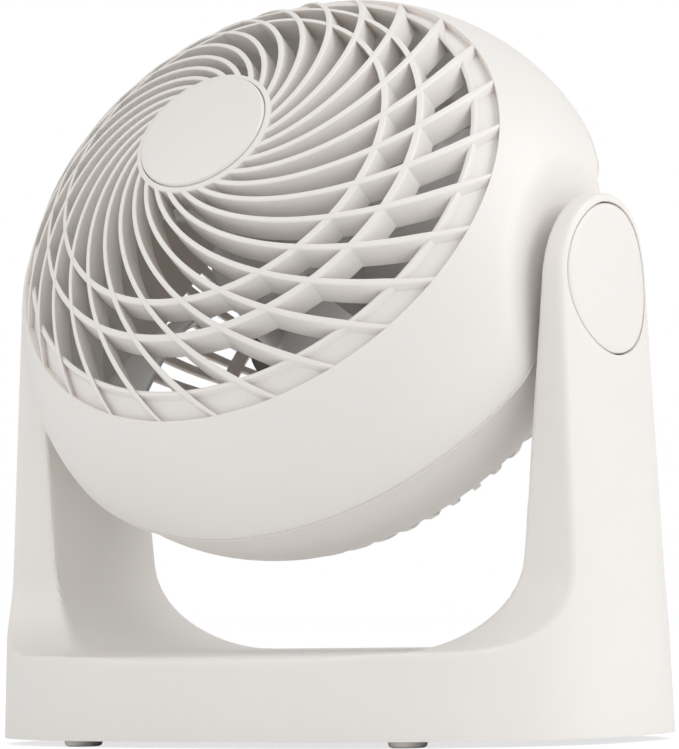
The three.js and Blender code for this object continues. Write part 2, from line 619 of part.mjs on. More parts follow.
// The opening between the uprights, widened all round by inset.
function archOutline(inset) {
  const lean = Math.atan(INNER_LEAN);
  const reach = innerHalfWidth * Math.cos(lean) - PIVOT_HEIGHT * Math.sin(lean);
  const middleZ = SHELF_HEIGHT + CORNER_RADIUS;
  const middleX = (reach - CORNER_RADIUS + middleZ * Math.sin(lean)) / Math.cos(lean);
  const radius = CORNER_RADIUS + inset;
  const topX = (reach + inset + REACH * Math.sin(lean)) / Math.cos(lean);
  const shape = new THREE.Shape();
  shape.moveTo(topX, REACH);
  shape.lineTo(-topX, REACH);
  shape.absarc(-middleX, middleZ, radius, Math.PI + lean, 1.5 * Math.PI, false);
  shape.absarc(middleX, middleZ, radius, 1.5 * Math.PI, 2 * Math.PI - lean, false);
  return shape;
}

function standSolid(inset, z0) {
  return taperedPlan(inset, z0)
    .intersect(pulledAcross(sideOutline(inset, z0 - 1), inset > 0 ? 2 : 3))
    .subtract(pulledThrough(archOutline(inset), inset > 0 ? 2 : 4));
}

const bothSides = (body) => [body, body.mirror([1, 0, 0])];
const atPivot = (body) => alongX(body).translate([0, 0, PIVOT_HEIGHT]);
const outermostX = outerHalfWidth(PIVOT_HEIGHT);
const capSeatX = outermostX - CAP_SEAT;
const corners = [[-1, -1], [1, -1], [-1, 1], [1, 1]];
const atCorner = (body, [dx, dy], [x, y]) => body.translate([dx * x, dy * y, 0]);
const cupZ = PLATE_HEIGHT + SCREW_HEAD_HEIGHT + 2 * GAP; // floor of the cups round the base screws' heads

function standFrame() {
  const outside = standSolid(0, hoodFoot);
  const inside = standSolid(WALL, hoodFoot - 5);
  const puck = bothSides(atPivot(rod(UPRIGHT_TOP_RADIUS, bossX, REACH / 2, CAP_ROUND))).map((body) =>
    body.intersect(outside));
  const boss = bothSides(atPivot(rod(PIVOT_BOSS_RADIUS, bossX, webEndX, MIDDLE_ROUND)));
  const post = rod(POST_RADIUS, cupZ + PLATE_THICKNESS + GAP, SHELF_HEIGHT - 1, SCREW_ROUND);
  const posts = corners.map((corner) => atCorner(post, corner, BASE_SCREW_SPREAD));
  const hole = screwHole(cupZ, cupZ + PLATE_THICKNESS + SCREW_LENGTH);
  const holes = corners.map((corner) => atCorner(hole, corner, BASE_SCREW_SPREAD));
  const bush = JOURNAL_RADIUS + RUNNING_GAP + BUSH_WALL + GAP;
  const pockets = bothSides(atPivot(join([
    rod(bush, bossX - 1, webEndX + 1, MIDDLE_ROUND),
    rod(CHAMBER_RADIUS, webEndX, REACH / 2, CAP_ROUND),
    rod(CAP_RADIUS + GAP, capSeatX - GAP, REACH / 2, CAP_ROUND),
  ])));
  const inlet = alongY(rod(GLAND_RADIUS + GAP, 0, REACH, MIDDLE_ROUND)).translate([0, 0, GLAND_HEIGHT]);
  return cut(join([outside.subtract(inside), ...puck, ...boss, ...posts]), [...holes, ...pockets, inlet]);
}

function sideCap() {
  const disc = atPivot(rod(CAP_RADIUS, capSeatX, REACH / 2, CAP_ROUND)).intersect(standSolid(0, hoodFoot));
  return disc.subtract(atPivot(rod(CHAMBER_RADIUS + 1, 0, outermostX - CAP_WALL, CAP_ROUND)));
}

function basePlate() {
  const inset = WALL + 2 * GAP;
  const plan = superellipse(standHalfWidth - inset, STAND_HALF_DEPTH - inset, INNER_PLAN_STEPS);
  const plate = solid(pulledUp(plan, PLATE_HEIGHT, PLATE_HEIGHT + PLATE_THICKNESS));
  const cup = rod(SCREW_HEAD + GAP + PLATE_THICKNESS, PLATE_HEIGHT, cupZ + PLATE_THICKNESS, SCREW_ROUND);
  const cups = corners.map((corner) => atCorner(cup, corner, BASE_SCREW_SPREAD));
  const holes = corners.flatMap((corner) => [
    atCorner(rod(SCREW_HEAD + GAP, 0, cupZ, SCREW_ROUND), corner, BASE_SCREW_SPREAD),
    atCorner(screwHole(0, REACH), corner, BASE_SCREW_SPREAD),
    atCorner(rod(FOOT_RADIUS / 2 + GAP, 0, REACH), corner, FOOT_SPREAD),
  ]);
  return cut(join([plate, ...cups]), holes);
}

function foot() {
  const top = PLATE_HEIGHT - GAP;
  const stem = PLATE_HEIGHT + PLATE_THICKNESS + 1;
  return turned([
    [0, 0], [FOOT_RADIUS - 0.5, 0], [FOOT_RADIUS, 0.6], [FOOT_RADIUS, top], [FOOT_RADIUS / 2, top],
    [FOOT_RADIUS / 2, stem], [0, stem],
  ], MIDDLE_ROUND);
}

function cordGland() {
  const wall = STAND_HALF_DEPTH;
  return alongY(turned([
    [GLAND_BORE, wall - WALL - FRONT_LEAN - 3], [GLAND_RADIUS, wall - WALL - FRONT_LEAN - 3],
    [GLAND_RADIUS, wall + GAP], [GLAND_FLANGE, wall + GAP], [GLAND_FLANGE - 0.6, wall + GAP + 1.4],
    [GLAND_BORE, wall + GAP + 1.4],
  ], MIDDLE_ROUND)).translate([0, 0, GLAND_HEIGHT]);
}

// ---- assembly -----------------------------------------------------------------------------------

function add(group, name, body, material) {
  const mesh = new THREE.Mesh(geometryOf(body), material);
  mesh.name = name;
  group.add(mesh);
}

const fan = new THREE.Group();
const stand = new THREE.Group();
stand.position.y = PIVOT_BACK;
const head = new THREE.Group();
head.position.z = PIVOT_HEIGHT;
head.rotation.x = THREE.MathUtils.degToRad(90 - TILT);
fan.add(stand);
stand.add(head);

add(stand, "stand_frame", standFrame(), shellPlastic);
add(stand, "base_plate", basePlate(), innerPlastic);
corners.forEach((corner) => {
  const where = `${corner[1] < 0 ? "front" : "rear"}_${corner[0] < 0 ? "left" : "right"}`;
  add(stand, `foot_${where}`, atCorner(foot(), corner, FOOT_SPREAD), rubber);
  const baseScrew = screw(SCREW_LENGTH).translate([0, 0, cupZ - GAP]);
  add(stand, `base_screw_${where}`, atCorner(baseScrew, corner, BASE_SCREW_SPREAD), steel);
});
add(stand, "cord_gland", cordGland(), rubber);

[["right", 0], ["left", 180]].forEach(([side, turn]) => {
  const sided = (body) => body.rotate([0, 0, turn]);
  add(stand, `side_cap_${side}`, sided(sideCap()), shellPlastic);
  add(stand, `pivot_bush_${side}`, sided(atPivot(pivotBush())), nylon);
  add(head, `trunnion_${side}`, sided(alongX(trunnion())), innerPlastic);
  add(head, `pivot_washer_${side}`, sided(alongX(pivotWasher())), steel);
  add(head, `pivot_screw_${side}`, sided(alongX(pivotScrew())), steel);
});

add(head, "front_cover", frontCover(), shellPlastic);
add(head, "hub_badge", hubBadge(), badgePlastic);
add(head, "rear_housing", rearHousing(), shellPlastic);
screwAngles.forEach((angle, i) => {
  const length = SEAM_Z - REAR_SCREW_SEAT + SCREW_LENGTH - 1;
  const placed = onScrewCircle(screw(length).translate([0, 0, REAR_SCREW_SEAT - GAP]), angle);
  add(head, `housing_screw_${i + 1}`, placed, steel);
});

add(head, "motor_rear_can", rearCan(), darkSteel);
add(head, "motor_front_can", frontCan(), darkSteel);
add(head, "motor_stator", stator(), steel);
add(head, "motor_bearing_rear", bearing(), bronze);
add(head, "motor_bearing_front", mirrored(bearing()), bronze);
motorPostAngles.forEach((angle, i) => {
  const placed = screw(SCREW_LENGTH).mirror([0, 0, 1]).translate([0, 0, MOTOR_BACK + CAN_WALL + GAP]);
  add(head, `motor_screw_${i + 1}`, onMotorCircle(placed, angle), steel);
});
add(head, "motor_shaft", shaft(), steel);
add(head, "motor_rotor", rotorCore(), darkSteel);
add(head, "impeller", impeller(), bladePlastic);
add(head, "impeller_nut", impellerNut(), innerPlastic);
add(head, "speed_switch", speedSwitch(), innerPlastic);
add(head, "switch_spindle", switchSpindle(), nylon);
add(head, "speed_knob", speedKnob(), shellPlastic);

export default fan;
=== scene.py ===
"""Air circulator fan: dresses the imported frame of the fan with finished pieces, materials and a studio.

The pieces of the head are made in the head's own frame (+Z out through the grille, +Y up across it, X along
the tilt pivot, origin on the pivot) and then placed by head_frame(). The pieces of the stand are made in the
stand's frame: X across, Y back, Z up, origin on the floor under the pivot.
"""

import json
import math

import bmesh
import bpy
import numpy as np
from bpy.props import FloatProperty, FloatVectorProperty, IntProperty, PointerProperty
from mathutils import Matrix, Vector


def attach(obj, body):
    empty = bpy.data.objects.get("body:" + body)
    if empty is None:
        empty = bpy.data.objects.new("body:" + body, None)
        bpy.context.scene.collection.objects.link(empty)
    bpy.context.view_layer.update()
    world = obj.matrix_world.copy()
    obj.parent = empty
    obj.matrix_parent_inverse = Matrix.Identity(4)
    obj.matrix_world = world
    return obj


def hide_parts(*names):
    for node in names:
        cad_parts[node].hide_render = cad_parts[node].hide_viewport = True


bl_info = {
    "name": "Air Circulator Fan",
    "version": (1, 0, 0),
    "blender": (4, 5, 0),
    "location": "View3D > Sidebar > Fan",
    "description": "Builds the visible pieces, materials and studio of a tilting air circulator fan",
    "category": "Add Mesh",
}

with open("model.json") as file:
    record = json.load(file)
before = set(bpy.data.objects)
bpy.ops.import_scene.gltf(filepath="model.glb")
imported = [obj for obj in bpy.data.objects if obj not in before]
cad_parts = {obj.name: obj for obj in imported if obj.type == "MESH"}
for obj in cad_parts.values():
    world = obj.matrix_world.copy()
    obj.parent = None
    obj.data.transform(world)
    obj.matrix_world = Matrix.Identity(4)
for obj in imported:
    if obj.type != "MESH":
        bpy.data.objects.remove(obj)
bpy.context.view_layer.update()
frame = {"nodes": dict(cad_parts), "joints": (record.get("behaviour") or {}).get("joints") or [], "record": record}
JOINTS = {joint["name"]: joint for joint in frame["joints"]}
PIVOT = Vector(JOINTS["head_tilt"]["pos_m"])
BLOW = Vector(JOINTS["fan_spin"]["axis"])

GAP = 0.0003  # clearance between pieces that rest on one another
REACH = 0.4  # longer than the fan, for cutters that pass right through
TURN = 2 * math.pi
SIDES = ((-1, "left"), (1, "right"))
CORNERS = tuple((x, y) for x in (-1, 1) for y in (-1, 1))
BOSS_RECESS = 0.0012  # how far the bosses of the pivots stand into the opening between the uprights
INLET_HEIGHT = 0.013  # cord inlet above the floor
MATERIALS = {
    "shell_plastic": "warm_white_plastic",
    "badge_plastic": "satin_disc_plastic",
    "blade_plastic": "clear_grey_plastic",
    "inner_plastic": "inner_moulding",
    "foot_rubber": "soft_rubber",
    "steel": "plated_steel",
    "motor_steel": "painted_can",
    "bearing_bronze": "sintered_bronze",
    "bush_nylon": "natural_nylon",
}


# ---- sizes and colours --------------------------------------------------------------------------


def length(name, default, description):
    """A length in metres for the sidebar."""
    return FloatProperty(
        name=name, description=description, default=default, min=0.0, precision=4, unit="LENGTH"
    )


def angle(name, degrees, description):
    """An angle for the sidebar, given in degrees."""
    return FloatProperty(
        name=name, description=description, default=math.radians(degrees), subtype="ANGLE"
    )


def colour(name, default, description):
    """A colour for the sidebar."""
    return FloatVectorProperty(
        name=name, description=description, default=default, size=3, min=0.0, max=1.0, subtype="COLOR"
    )


class HeadSizes(bpy.types.PropertyGroup):
    """Sizes of the two shells of the head and of the front grille."""

    radius: length("Radius", 0.0998, "Front shell at the seam")
    dome_height: length("Dome Height", 0.081, "Front shell from the seam to its pole")
    bowl_radius: length("Bowl Radius", 0.0963, "Rear shell at the seam")
    bowl_depth: length("Bowl Depth", 0.0666, "Rear shell from the seam to its pole")
    seam: length("Seam", 0.004, "Seam in front of the pivot")
    seam_line: length("Seam Line", 0.0006, "Depth of the shadow line just in front of the seam")
    wall: length("Wall", 0.0024, "Moulded walls of the two shells")
    flat: length("Flat", 0.0913, "Half the width over the flattened sides")
    flat_blend: length("Flat Blend", 0.002, "Softening round the flattened sides")
    rib_count: IntProperty(name="Ribs", description="Spiral ribs in the grille", default=26, min=3)
    rib_lean: FloatProperty(
        name="Rib Lean", description="Tangent of the angle between a rib and a meridian", default=1.08
    )
    rib_start: angle("Rib Start", 17.0, "Where the first rib crosses the start radius")
    rib_start_radius: length("Rib Start Radius", 0.040, "Radius at which the start angle is given")
    rib_thickness: length("Rib Thickness", 0.0017, "Ribs at their top edge")
    rib_depth: length("Rib Depth", 0.0095, "Ribs from their top edge to their foot")
    tip_radius: length("Tip Radius", 0.0847, "Where the ribs run out on the shell")
    throat_radius: length("Throat Radius", 0.0773, "Duct round the blades")
    throat_drop: length("Throat Drop", 0.0026, "Edge of the duct under the dome")
    gutter_depth: length("Gutter Depth", 0.0075, "Floor of the gutter round the duct under its outer edge")
    duct_length: length("Duct Length", 0.044, "Depth of the duct")
    ring_inner: length("Inner Ring", 0.0566, "Middle of the inner ring of the grille")
    ring_outer: length("Outer Ring", 0.0659, "Middle of the outer ring of the grille")
    ring_thickness: length("Ring Thickness", 0.0018, "Rings of the grille")
    hub_radius: length("Hub Radius", 0.0236, "Hub ring that carries the disc")
    disc_radius: length("Disc Radius", 0.0216, "Plain disc in the middle of the grille")
    disc_thickness: length("Disc Thickness", 0.0024, "Rim of the plain disc")
    disc_rise: length("Disc Rise", 0.0011, "Rim of the disc over the dome")
    disc_crown: length("Disc Crown", 0.0008, "Middle of the disc over its rim")
    slot_count: IntProperty(name="Slots", description="Slots in each row of the rear", default=60, min=3)


class RotorSizes(bpy.types.PropertyGroup):
    """Sizes of the impeller, the motor and the knob."""

    blade_count: IntProperty(name="Blades", description="Blades of the impeller", default=5, min=2)
    blade_radius: length("Blade Radius", 0.0735, "Tips of the blades")
    blade_thickness: length("Blade Thickness", 0.0018, "Blades at the middle of their chord")
    hub_radius: length("Hub Radius", 0.026, "Hub of the impeller")
    hub_length: length("Hub Length", 0.030, "Depth of the impeller's hub")
    front: length("Front", 0.034, "Nose of the impeller in front of the pivot")
    motor_radius: length("Motor Radius", 0.031, "Pressed cans of the motor")
    motor_length: length("Motor Length", 0.036, "Both cans together")
    knob_radius: length("Knob Radius", 0.014, "Speed knob")
    knob_height: length("Knob Height", 0.012, "Speed knob")


class StandSizes(bpy.types.PropertyGroup):
    """Sizes of the stand, its caps and its feet."""

    half_width: length("Half Width", 0.1135, "Stand at the floor")
    half_depth: length("Half Depth", 0.066, "Stand at the floor")
    taper: FloatProperty(name="Taper", description="Narrowing of each side with height", default=0.05)
    plan_power: FloatProperty(name="Plan Power", description="Squareness of the oval plan", default=2.7)
    wall: length("Wall", 0.0024, "Moulded walls of the stand")
    shelf: length("Shelf", 0.029, "Top of the low part of the base")
    shelf_edge: length("Shelf Edge", 0.004, "Rounding of the base's long top edges")
    front_lean: length("Front Lean", 0.0015, "How far the long walls lean in up to the shelf")
    sweep: length("Sweep", 0.027, "Hollow sweep from the shelf up to each upright")
    upright_foot: length("Upright Foot", 0.0285, "Half the depth of an upright above the sweep")
    upright_top: length("Upright Top", 0.0265, "Radius of the round top of an upright")
    inner: length("Inner", 0.0958, "Half the opening between the uprights at the pivot")
    inner_lean: FloatProperty(name="Inner Lean", description="The opening narrows downwards", default=0.082)
    corner: length("Corner", 0.030, "Inside corners between the shelf and the uprights")
    edge: length("Edge", 0.0014, "Rounding of the long edges")
    grain: length("Grain", 0.0011, "Size of the faces of the stand's mesh")
    cap_radius: length("Cap Radius", 0.0234, "Round caps over the pivots")
    cap_seat: length("Cap Seat", 0.0044, "Rim of a cap under the upright's outermost point")


class Finishes(bpy.types.PropertyGroup):
    """Colours of the materials."""

    shell: colour("Shell", (0.82, 0.782, 0.748), "Warm off-white of the shells and the stand")
    disc: colour("Disc", (0.79, 0.765, 0.735), "Plain disc in the middle of the grille")
    blade: colour("Blade", (0.74, 0.75, 0.74), "Cool light grey of the blades")
    inner: colour("Inner", (0.66, 0.64, 0.60), "Unpolished inner mouldings")
    rubber: colour("Rubber", (0.84, 0.81, 0.78), "Feet and cord inlet")
    steel: colour("Steel", (0.52, 0.53, 0.55), "Screws and washers")
    motor: colour("Motor", (0.46, 0.45, 0.44), "Pressed cans of the motor")


class StudioSettings(bpy.types.PropertyGroup):
    """Camera and lights."""

    azimuth: angle("Azimuth", 33.25, "Camera round the fan, from straight in front")
    aim: angle("Aim", -0.154, "Turn of the camera from the pivot's axis")
    pitch: angle("Pitch", 2.77, "Camera above level")
    roll: angle("Roll", -0.99, "Camera about its own line of sight")
    distance: length("Distance", 1.45, "Camera from the pivot's axis, along the floor")
    height: length("Height", 0.0473, "Camera above the floor")
    focal: FloatProperty(name="Focal", description="Focal length, in picture heights", default=6.025)
    key: FloatProperty(name="Key", description="Strength of the large light", default=9.5, min=0.0)
    fill: FloatProperty(name="Fill", description="Strength of the small light", default=12.0, min=0.0)
    ambient: FloatProperty(name="Ambient", description="Strength of the room's light", default=0.66, min=0.0)


class FanSettings(bpy.types.PropertyGroup):
    """All settings of the fan."""

    head: PointerProperty(type=HeadSizes)
    rotor: PointerProperty(type=RotorSizes)
    stand: PointerProperty(type=StandSizes)
    finishes: PointerProperty(type=Finishes)
    studio: PointerProperty(type=StudioSettings)


# ---- frames -------------------------------------------------------------------------------------


def head_frame():
    """Places a piece made in the head's frame."""
    return Matrix.Translation(PIVOT) @ Matrix.Rotation(math.atan2(-BLOW.y, BLOW.z), 4, "X")


def stand_frame():
    """Places a piece made in the stand's frame."""
    return Matrix.Translation((0.0, PIVOT.y, 0.0))


def pivot_frame(side):
    """Places a piece made along +Z so that it points out along the pivot, to the right (1) or left (-1)."""
    return Matrix.Translation(PIVOT) @ Matrix.Rotation(side * math.pi / 2, 4, "Y")


# ---- mesh tools ---------------------------------------------------------------------------------


def arc(radius, height, base, start, end, steps):
    """Points (r, z) of an elliptic arc, with 0 degrees at the seam and 90 at the pole."""
    angles = [math.radians(start + (end - start) * i / steps) for i in range(steps + 1)]
    return [(radius * math.cos(a), base + height * math.sin(a)) for a in angles]


def revolve(outline, steps, closed=True):
    """A bmesh spun about Z from an outline of (r, z) points."""
    bm = bmesh.new()
    points = [bm.verts.new((r, 0.0, z)) for r, z in outline]
    pairs = list(zip(points, points[1:]))
    if closed:
        pairs.append((points[-1], points[0]))
    edges = [bm.edges.new(pair) for pair in pairs]
    bmesh.ops.spin(
        bm, geom=points + edges, cent=(0, 0, 0), axis=(0, 0, 1), angle=TURN, steps=steps, use_merge=True
    )
    bmesh.ops.remove_doubles(bm, verts=bm.verts, dist=1e-6)
    bmesh.ops.recalc_face_normals(bm, faces=bm.faces)
    return bm


def rounded_plate(corners, radii, axis, low, high):
    """A flat outline with rounded corners, pulled from low to high along axis, as an object's mesh."""
    bm = bmesh.new()
    verts = [bm.verts.new((a, b, low)) for a, b in corners]
    bm.faces.new(verts)
    for vert, (radius, segments) in zip(verts, radii):
        if radius > 0:
            bmesh.ops.bevel(
                bm, geom=[vert], offset=radius, offset_type="OFFSET", segments=segments, profile=0.5,
                affect="VERTICES", clamp_overlap=False, material=-1,
            )
    pulled = bmesh.ops.extrude_face_region(bm, geom=bm.faces[:])
    moved = [item for item in pulled["geom"] if isinstance(item, bmesh.types.BMVert)]
    bmesh.ops.translate(bm, verts=moved, vec=(0, 0, high - low))
    bmesh.ops.transform(bm, matrix=axis, verts=bm.verts)
    bmesh.ops.recalc_face_normals(bm, faces=bm.faces)
    return bm


def smoothed(mesh, sharp):
    """Shades a mesh smooth up to an angle in degrees."""
    mesh.shade_smooth()
    mesh.set_sharp_from_angle(angle=math.radians(sharp))


def to_object(bm, name, sharp=35.0):
    """Turns a bmesh into a linked object, shaded smooth up to an angle in degrees."""
    mesh = bpy.data.meshes.new(name)
    bm.to_mesh(mesh)
    bm.free()
    smoothed(mesh, sharp)
    obj = bpy.data.objects.new(name, mesh)
    bpy.context.scene.collection.objects.link(obj)
    return obj


def placed(bm, name, place, sharp=35.0):
    """Turns a bmesh into an object whose mesh already lies in its place."""
    obj = to_object(bm, name, sharp)
    obj.data.transform(place)
    return obj


def combined(base, others, operation):
    """The base object joined with, cut by or kept inside each other object, which are used up."""
    for other in others:
        step = base.modifiers.new(operation.title(), "BOOLEAN")
        step.operation = operation
        step.solver = "EXACT"
        step.object = other
    bpy.context.view_layer.update()
    shape = base.evaluated_get(bpy.context.evaluated_depsgraph_get())
    mesh = bpy.data.meshes.new_from_object(shape)
    base.modifiers.clear()
    base.data = mesh
    for other in others:
        bpy.data.objects.remove(other)
    return base


def cylinder(radius, low, high, segments, place=Matrix()):
    """An object for cutting and joining: a plain rod along Z."""
    bm = bmesh.new()
    bmesh.ops.create_cone(
        bm, cap_ends=True, segments=segments, radius1=radius, radius2=radius, depth=high - low,
        matrix=place @ Matrix.Translation((0, 0, (low + high) / 2)),
    )
    return to_object(bm, "rod")


def bevelled(obj, width, segments=2, limit=35.0):
    """Rounds the sharp edges of an object."""
    step = obj.modifiers.new("Bevel", "BEVEL")
    step.width = width
    step.segments = segments
    step.limit_method = "ANGLE"
    step.angle_limit = math.radians(limit)
    step.use_clamp_overlap = False
    return obj


def thickened(obj, thickness, offset=-1.0):
    """Gives a skin its wall."""
    step = obj.modifiers.new("Solidify", "SOLIDIFY")
    step.thickness = thickness
    step.offset = offset
    step.use_even_offset = True
    return obj


def dressed(obj, body, slot, replaces=(), material=None):
    """Gives a finished piece its body and the material of its slot, and hides the CAD nodes it stands for."""
    obj.data.materials.clear()
    obj.data.materials.append(bpy.data.materials[material or MATERIALS[slot]])
    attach(obj, body)
    if replaces:
        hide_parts(*replaces)
    return obj


# ---- materials ----------------------------------------------------------------------------------


def surface(name, base, roughness, metallic=0.0):
    """A node material with a Principled shader on the object's own coordinates."""
    material = bpy.data.materials.new(name)
    material.use_nodes = True
    nodes = material.node_tree.nodes
    shader = nodes["Principled BSDF"]
    shader.inputs["Base Color"].default_value = (*base, 1.0)
    shader.inputs["Roughness"].default_value = roughness
    shader.inputs["Metallic"].default_value = metallic
    place = nodes.new("ShaderNodeTexCoord")
    return material, shader, place.outputs["Object"]


def noise(material, place, scale, detail=3.0):
    """A noise pattern on the object's coordinates."""
    node = material.node_tree.nodes.new("ShaderNodeTexNoise")
    node.inputs["Scale"].default_value = scale
    node.inputs["Detail"].default_value = detail
    material.node_tree.links.new(place, node.inputs["Vector"])
    return node.outputs["Fac"]


def spread(material, value, low, high):
    """A pattern's 0.3 to 0.7 spread over low to high."""
    node = material.node_tree.nodes.new("ShaderNodeMapRange")
    node.inputs["From Min"].default_value = 0.3
    node.inputs["From Max"].default_value = 0.7
    node.inputs["To Min"].default_value = low
    node.inputs["To Max"].default_value = high
    material.node_tree.links.new(value, node.inputs["Value"])
    return node.outputs["Result"]


def tinted(material, shader, value, base, shift):
    """Lets a pattern shift the base colour a little lighter and darker."""
    node = material.node_tree.nodes.new("ShaderNodeMix")
    node.data_type = "RGBA"
    node.inputs["A"].default_value = (*[max(0.0, c - shift) for c in base], 1.0)
    node.inputs["B"].default_value = (*[min(1.0, c + shift) for c in base], 1.0)
    material.node_tree.links.new(value, node.inputs["Factor"])
    material.node_tree.links.new(node.outputs["Result"], shader.inputs["Base Color"])


def grained(material, shader, value, strength, distance):
    """Lets a pattern raise the surface."""
    node = material.node_tree.nodes.new("ShaderNodeBump")
    node.inputs["Strength"].default_value = strength
    node.inputs["Distance"].default_value = distance
    material.node_tree.links.new(value, node.inputs["Height"])
    material.node_tree.links.new(node.outputs["Normal"], shader.inputs["Normal"])


def moulded_plastic(name, base, roughness, grain, strength):
    """Plastic with a fine spark-eroded grain, a little unevenness in its gloss and in its colour."""
    material, shader, place = surface(name, base, roughness)
    links = material.node_tree.links
    tinted(material, shader, spread(material, noise(material, place, 14.0), 0.0, 1.0), base, 0.008)
    gloss = spread(material, noise(material, place, 45.0), roughness - 0.03, roughness + 0.03)
    links.new(gloss, shader.inputs["Roughness"])
    grained(material, shader, noise(material, place, grain, 2.0), strength, 0.00003)
    shader.inputs["IOR"].default_value = 1.49
    return material


def brushed_metal(name, base, roughness):
    """Plated or pressed steel with fine drawn lines."""
    material, shader, place = surface(name, base, roughness, 1.0)
    stretch = material.node_tree.nodes.new("ShaderNodeMapping")
    stretch.inputs["Scale"].default_value = (40.0, 900.0, 40.0)
    material.node_tree.links.new(place, stretch.inputs["Vector"])
    lines = noise(material, stretch.outputs["Vector"], 6.0)
    material.node_tree.links.new(
        spread(material, lines, roughness - 0.08, roughness + 0.08), shader.inputs["Roughness"]
    )
    grained(material, shader, lines, 0.15, 0.00005)
    return material


def make_finishes(settings):
    """Makes every material of the fan once, by name."""
    shell = moulded_plastic("warm_white_plastic", settings.shell, 0.40, 1500.0, 0.25)
    shell.node_tree.nodes["Principled BSDF"].inputs["Subsurface Weight"].default_value = 0.04
    disc = moulded_plastic("satin_disc_plastic", settings.disc, 0.32, 2600.0, 0.08)
    blade = moulded_plastic("clear_grey_plastic", settings.blade, 0.18, 900.0, 0.05)
    gloss = blade.node_tree.nodes["Principled BSDF"]
    gloss.inputs["Transmission Weight"].default_value = 0.22
    gloss.inputs["Coat Weight"].default_value = 0.3
    inner = moulded_plastic("inner_moulding", settings.inner, 0.55, 1100.0, 0.35)
    rubber = moulded_plastic("soft_rubber", settings.rubber, 0.82, 1900.0, 0.5)
    nylon = moulded_plastic("natural_nylon", (0.80, 0.79, 0.74), 0.45, 1200.0, 0.15)
    steel = brushed_metal("plated_steel", settings.steel, 0.32)
    motor = brushed_metal("painted_can", settings.motor, 0.45)
    bronze = brushed_metal("sintered_bronze", (0.38, 0.24, 0.11), 0.42)
    return {m.name: m for m in (shell, disc, blade, inner, rubber, nylon, steel, motor, bronze)}


# ---- head surfaces ------------------------------------------------------------------------------


def dome_z(head, radius):
    """Height of the front dome at a radius."""
    return head.seam + head.dome_height * math.sqrt(max(0.0, 1 - (radius / head.radius) ** 2))


def bowl_z(head, radius):
    """Height of the rear bowl at a radius."""
    return head.seam - head.bowl_depth * math.sqrt(max(0.0, 1 - (radius / head.bowl_radius) ** 2))


def rib_angle(head, radius):
    """Angle round the axis at which the first rib passes a radius: it keeps one angle to the meridians."""
    steps = 24
    step = (radius - head.rib_start_radius) / steps
    turn = head.rib_start
    for i in range(steps):
        r = head.rib_start_radius + (i + 0.5) * step
        share = r / head.radius
        slope = head.dome_height / head.radius * share / math.sqrt(1 - share * share)
        turn += head.rib_lean * math.hypot(1, slope) * step / r
    return turn


def smooth_share(value, low, high):
    """0 below low, 1 above high, with soft ends."""
    t = min(1.0, max(0.0, (value - low) / (high - low)))
    return t * t * (3 - 2 * t)


def rounded_both(first, second, radius):
    """Distance from what two shapes share, from the distance to each, with the edge between them rounded."""
    corner = np.hypot(np.maximum(first + radius, 0.0), np.maximum(second + radius, 0.0))
    return np.minimum(np.maximum(first, second), -radius) + corner


def soft_limit(value, limit, blend):
    """The lower of value and limit, with a rounded change from one to the other."""
    near = max(blend - abs(value - limit), 0.0) / blend
    return min(value, limit) - near * near * blend / 4


def flattened(bm, head):
    """Presses the sides of a shell of the head flat. What lies inside its walls is pressed a wall further."""
    for vert in bm.verts:
        across, radius = abs(vert.co.x), math.hypot(vert.co.x, vert.co.y)
        if vert.co.z > head.seam - GAP / 2:
            height, reach = head.dome_height, head.radius
        else:
            height, reach = head.bowl_depth, head.bowl_radius
        level = math.hypot(radius / reach, (vert.co.z - head.seam) / height)
        limit = head.flat - (head.wall if level < 1 - head.wall / reach / 2 else 0.0)
        vert.co.x = math.copysign(soft_limit(across, limit, head.flat_blend), vert.co.x)
    return bm


# ---- operators ----------------------------------------------------------------------------------


class FAN_OT_finishes(bpy.types.Operator):
    """Make the materials and give the inner CAD nodes theirs"""

    bl_idname = "fan.finishes"
    bl_label = "Finishes"

    def execute(self, context):
        made = make_finishes(context.scene.fan.finishes)
        for part in frame["record"]["subparts"]:
            slots = frame["nodes"][part["node"]].data.materials
            slots.clear()
            slots.append(made[MATERIALS[part["material_slot"]]])
        return {"FINISHED"}


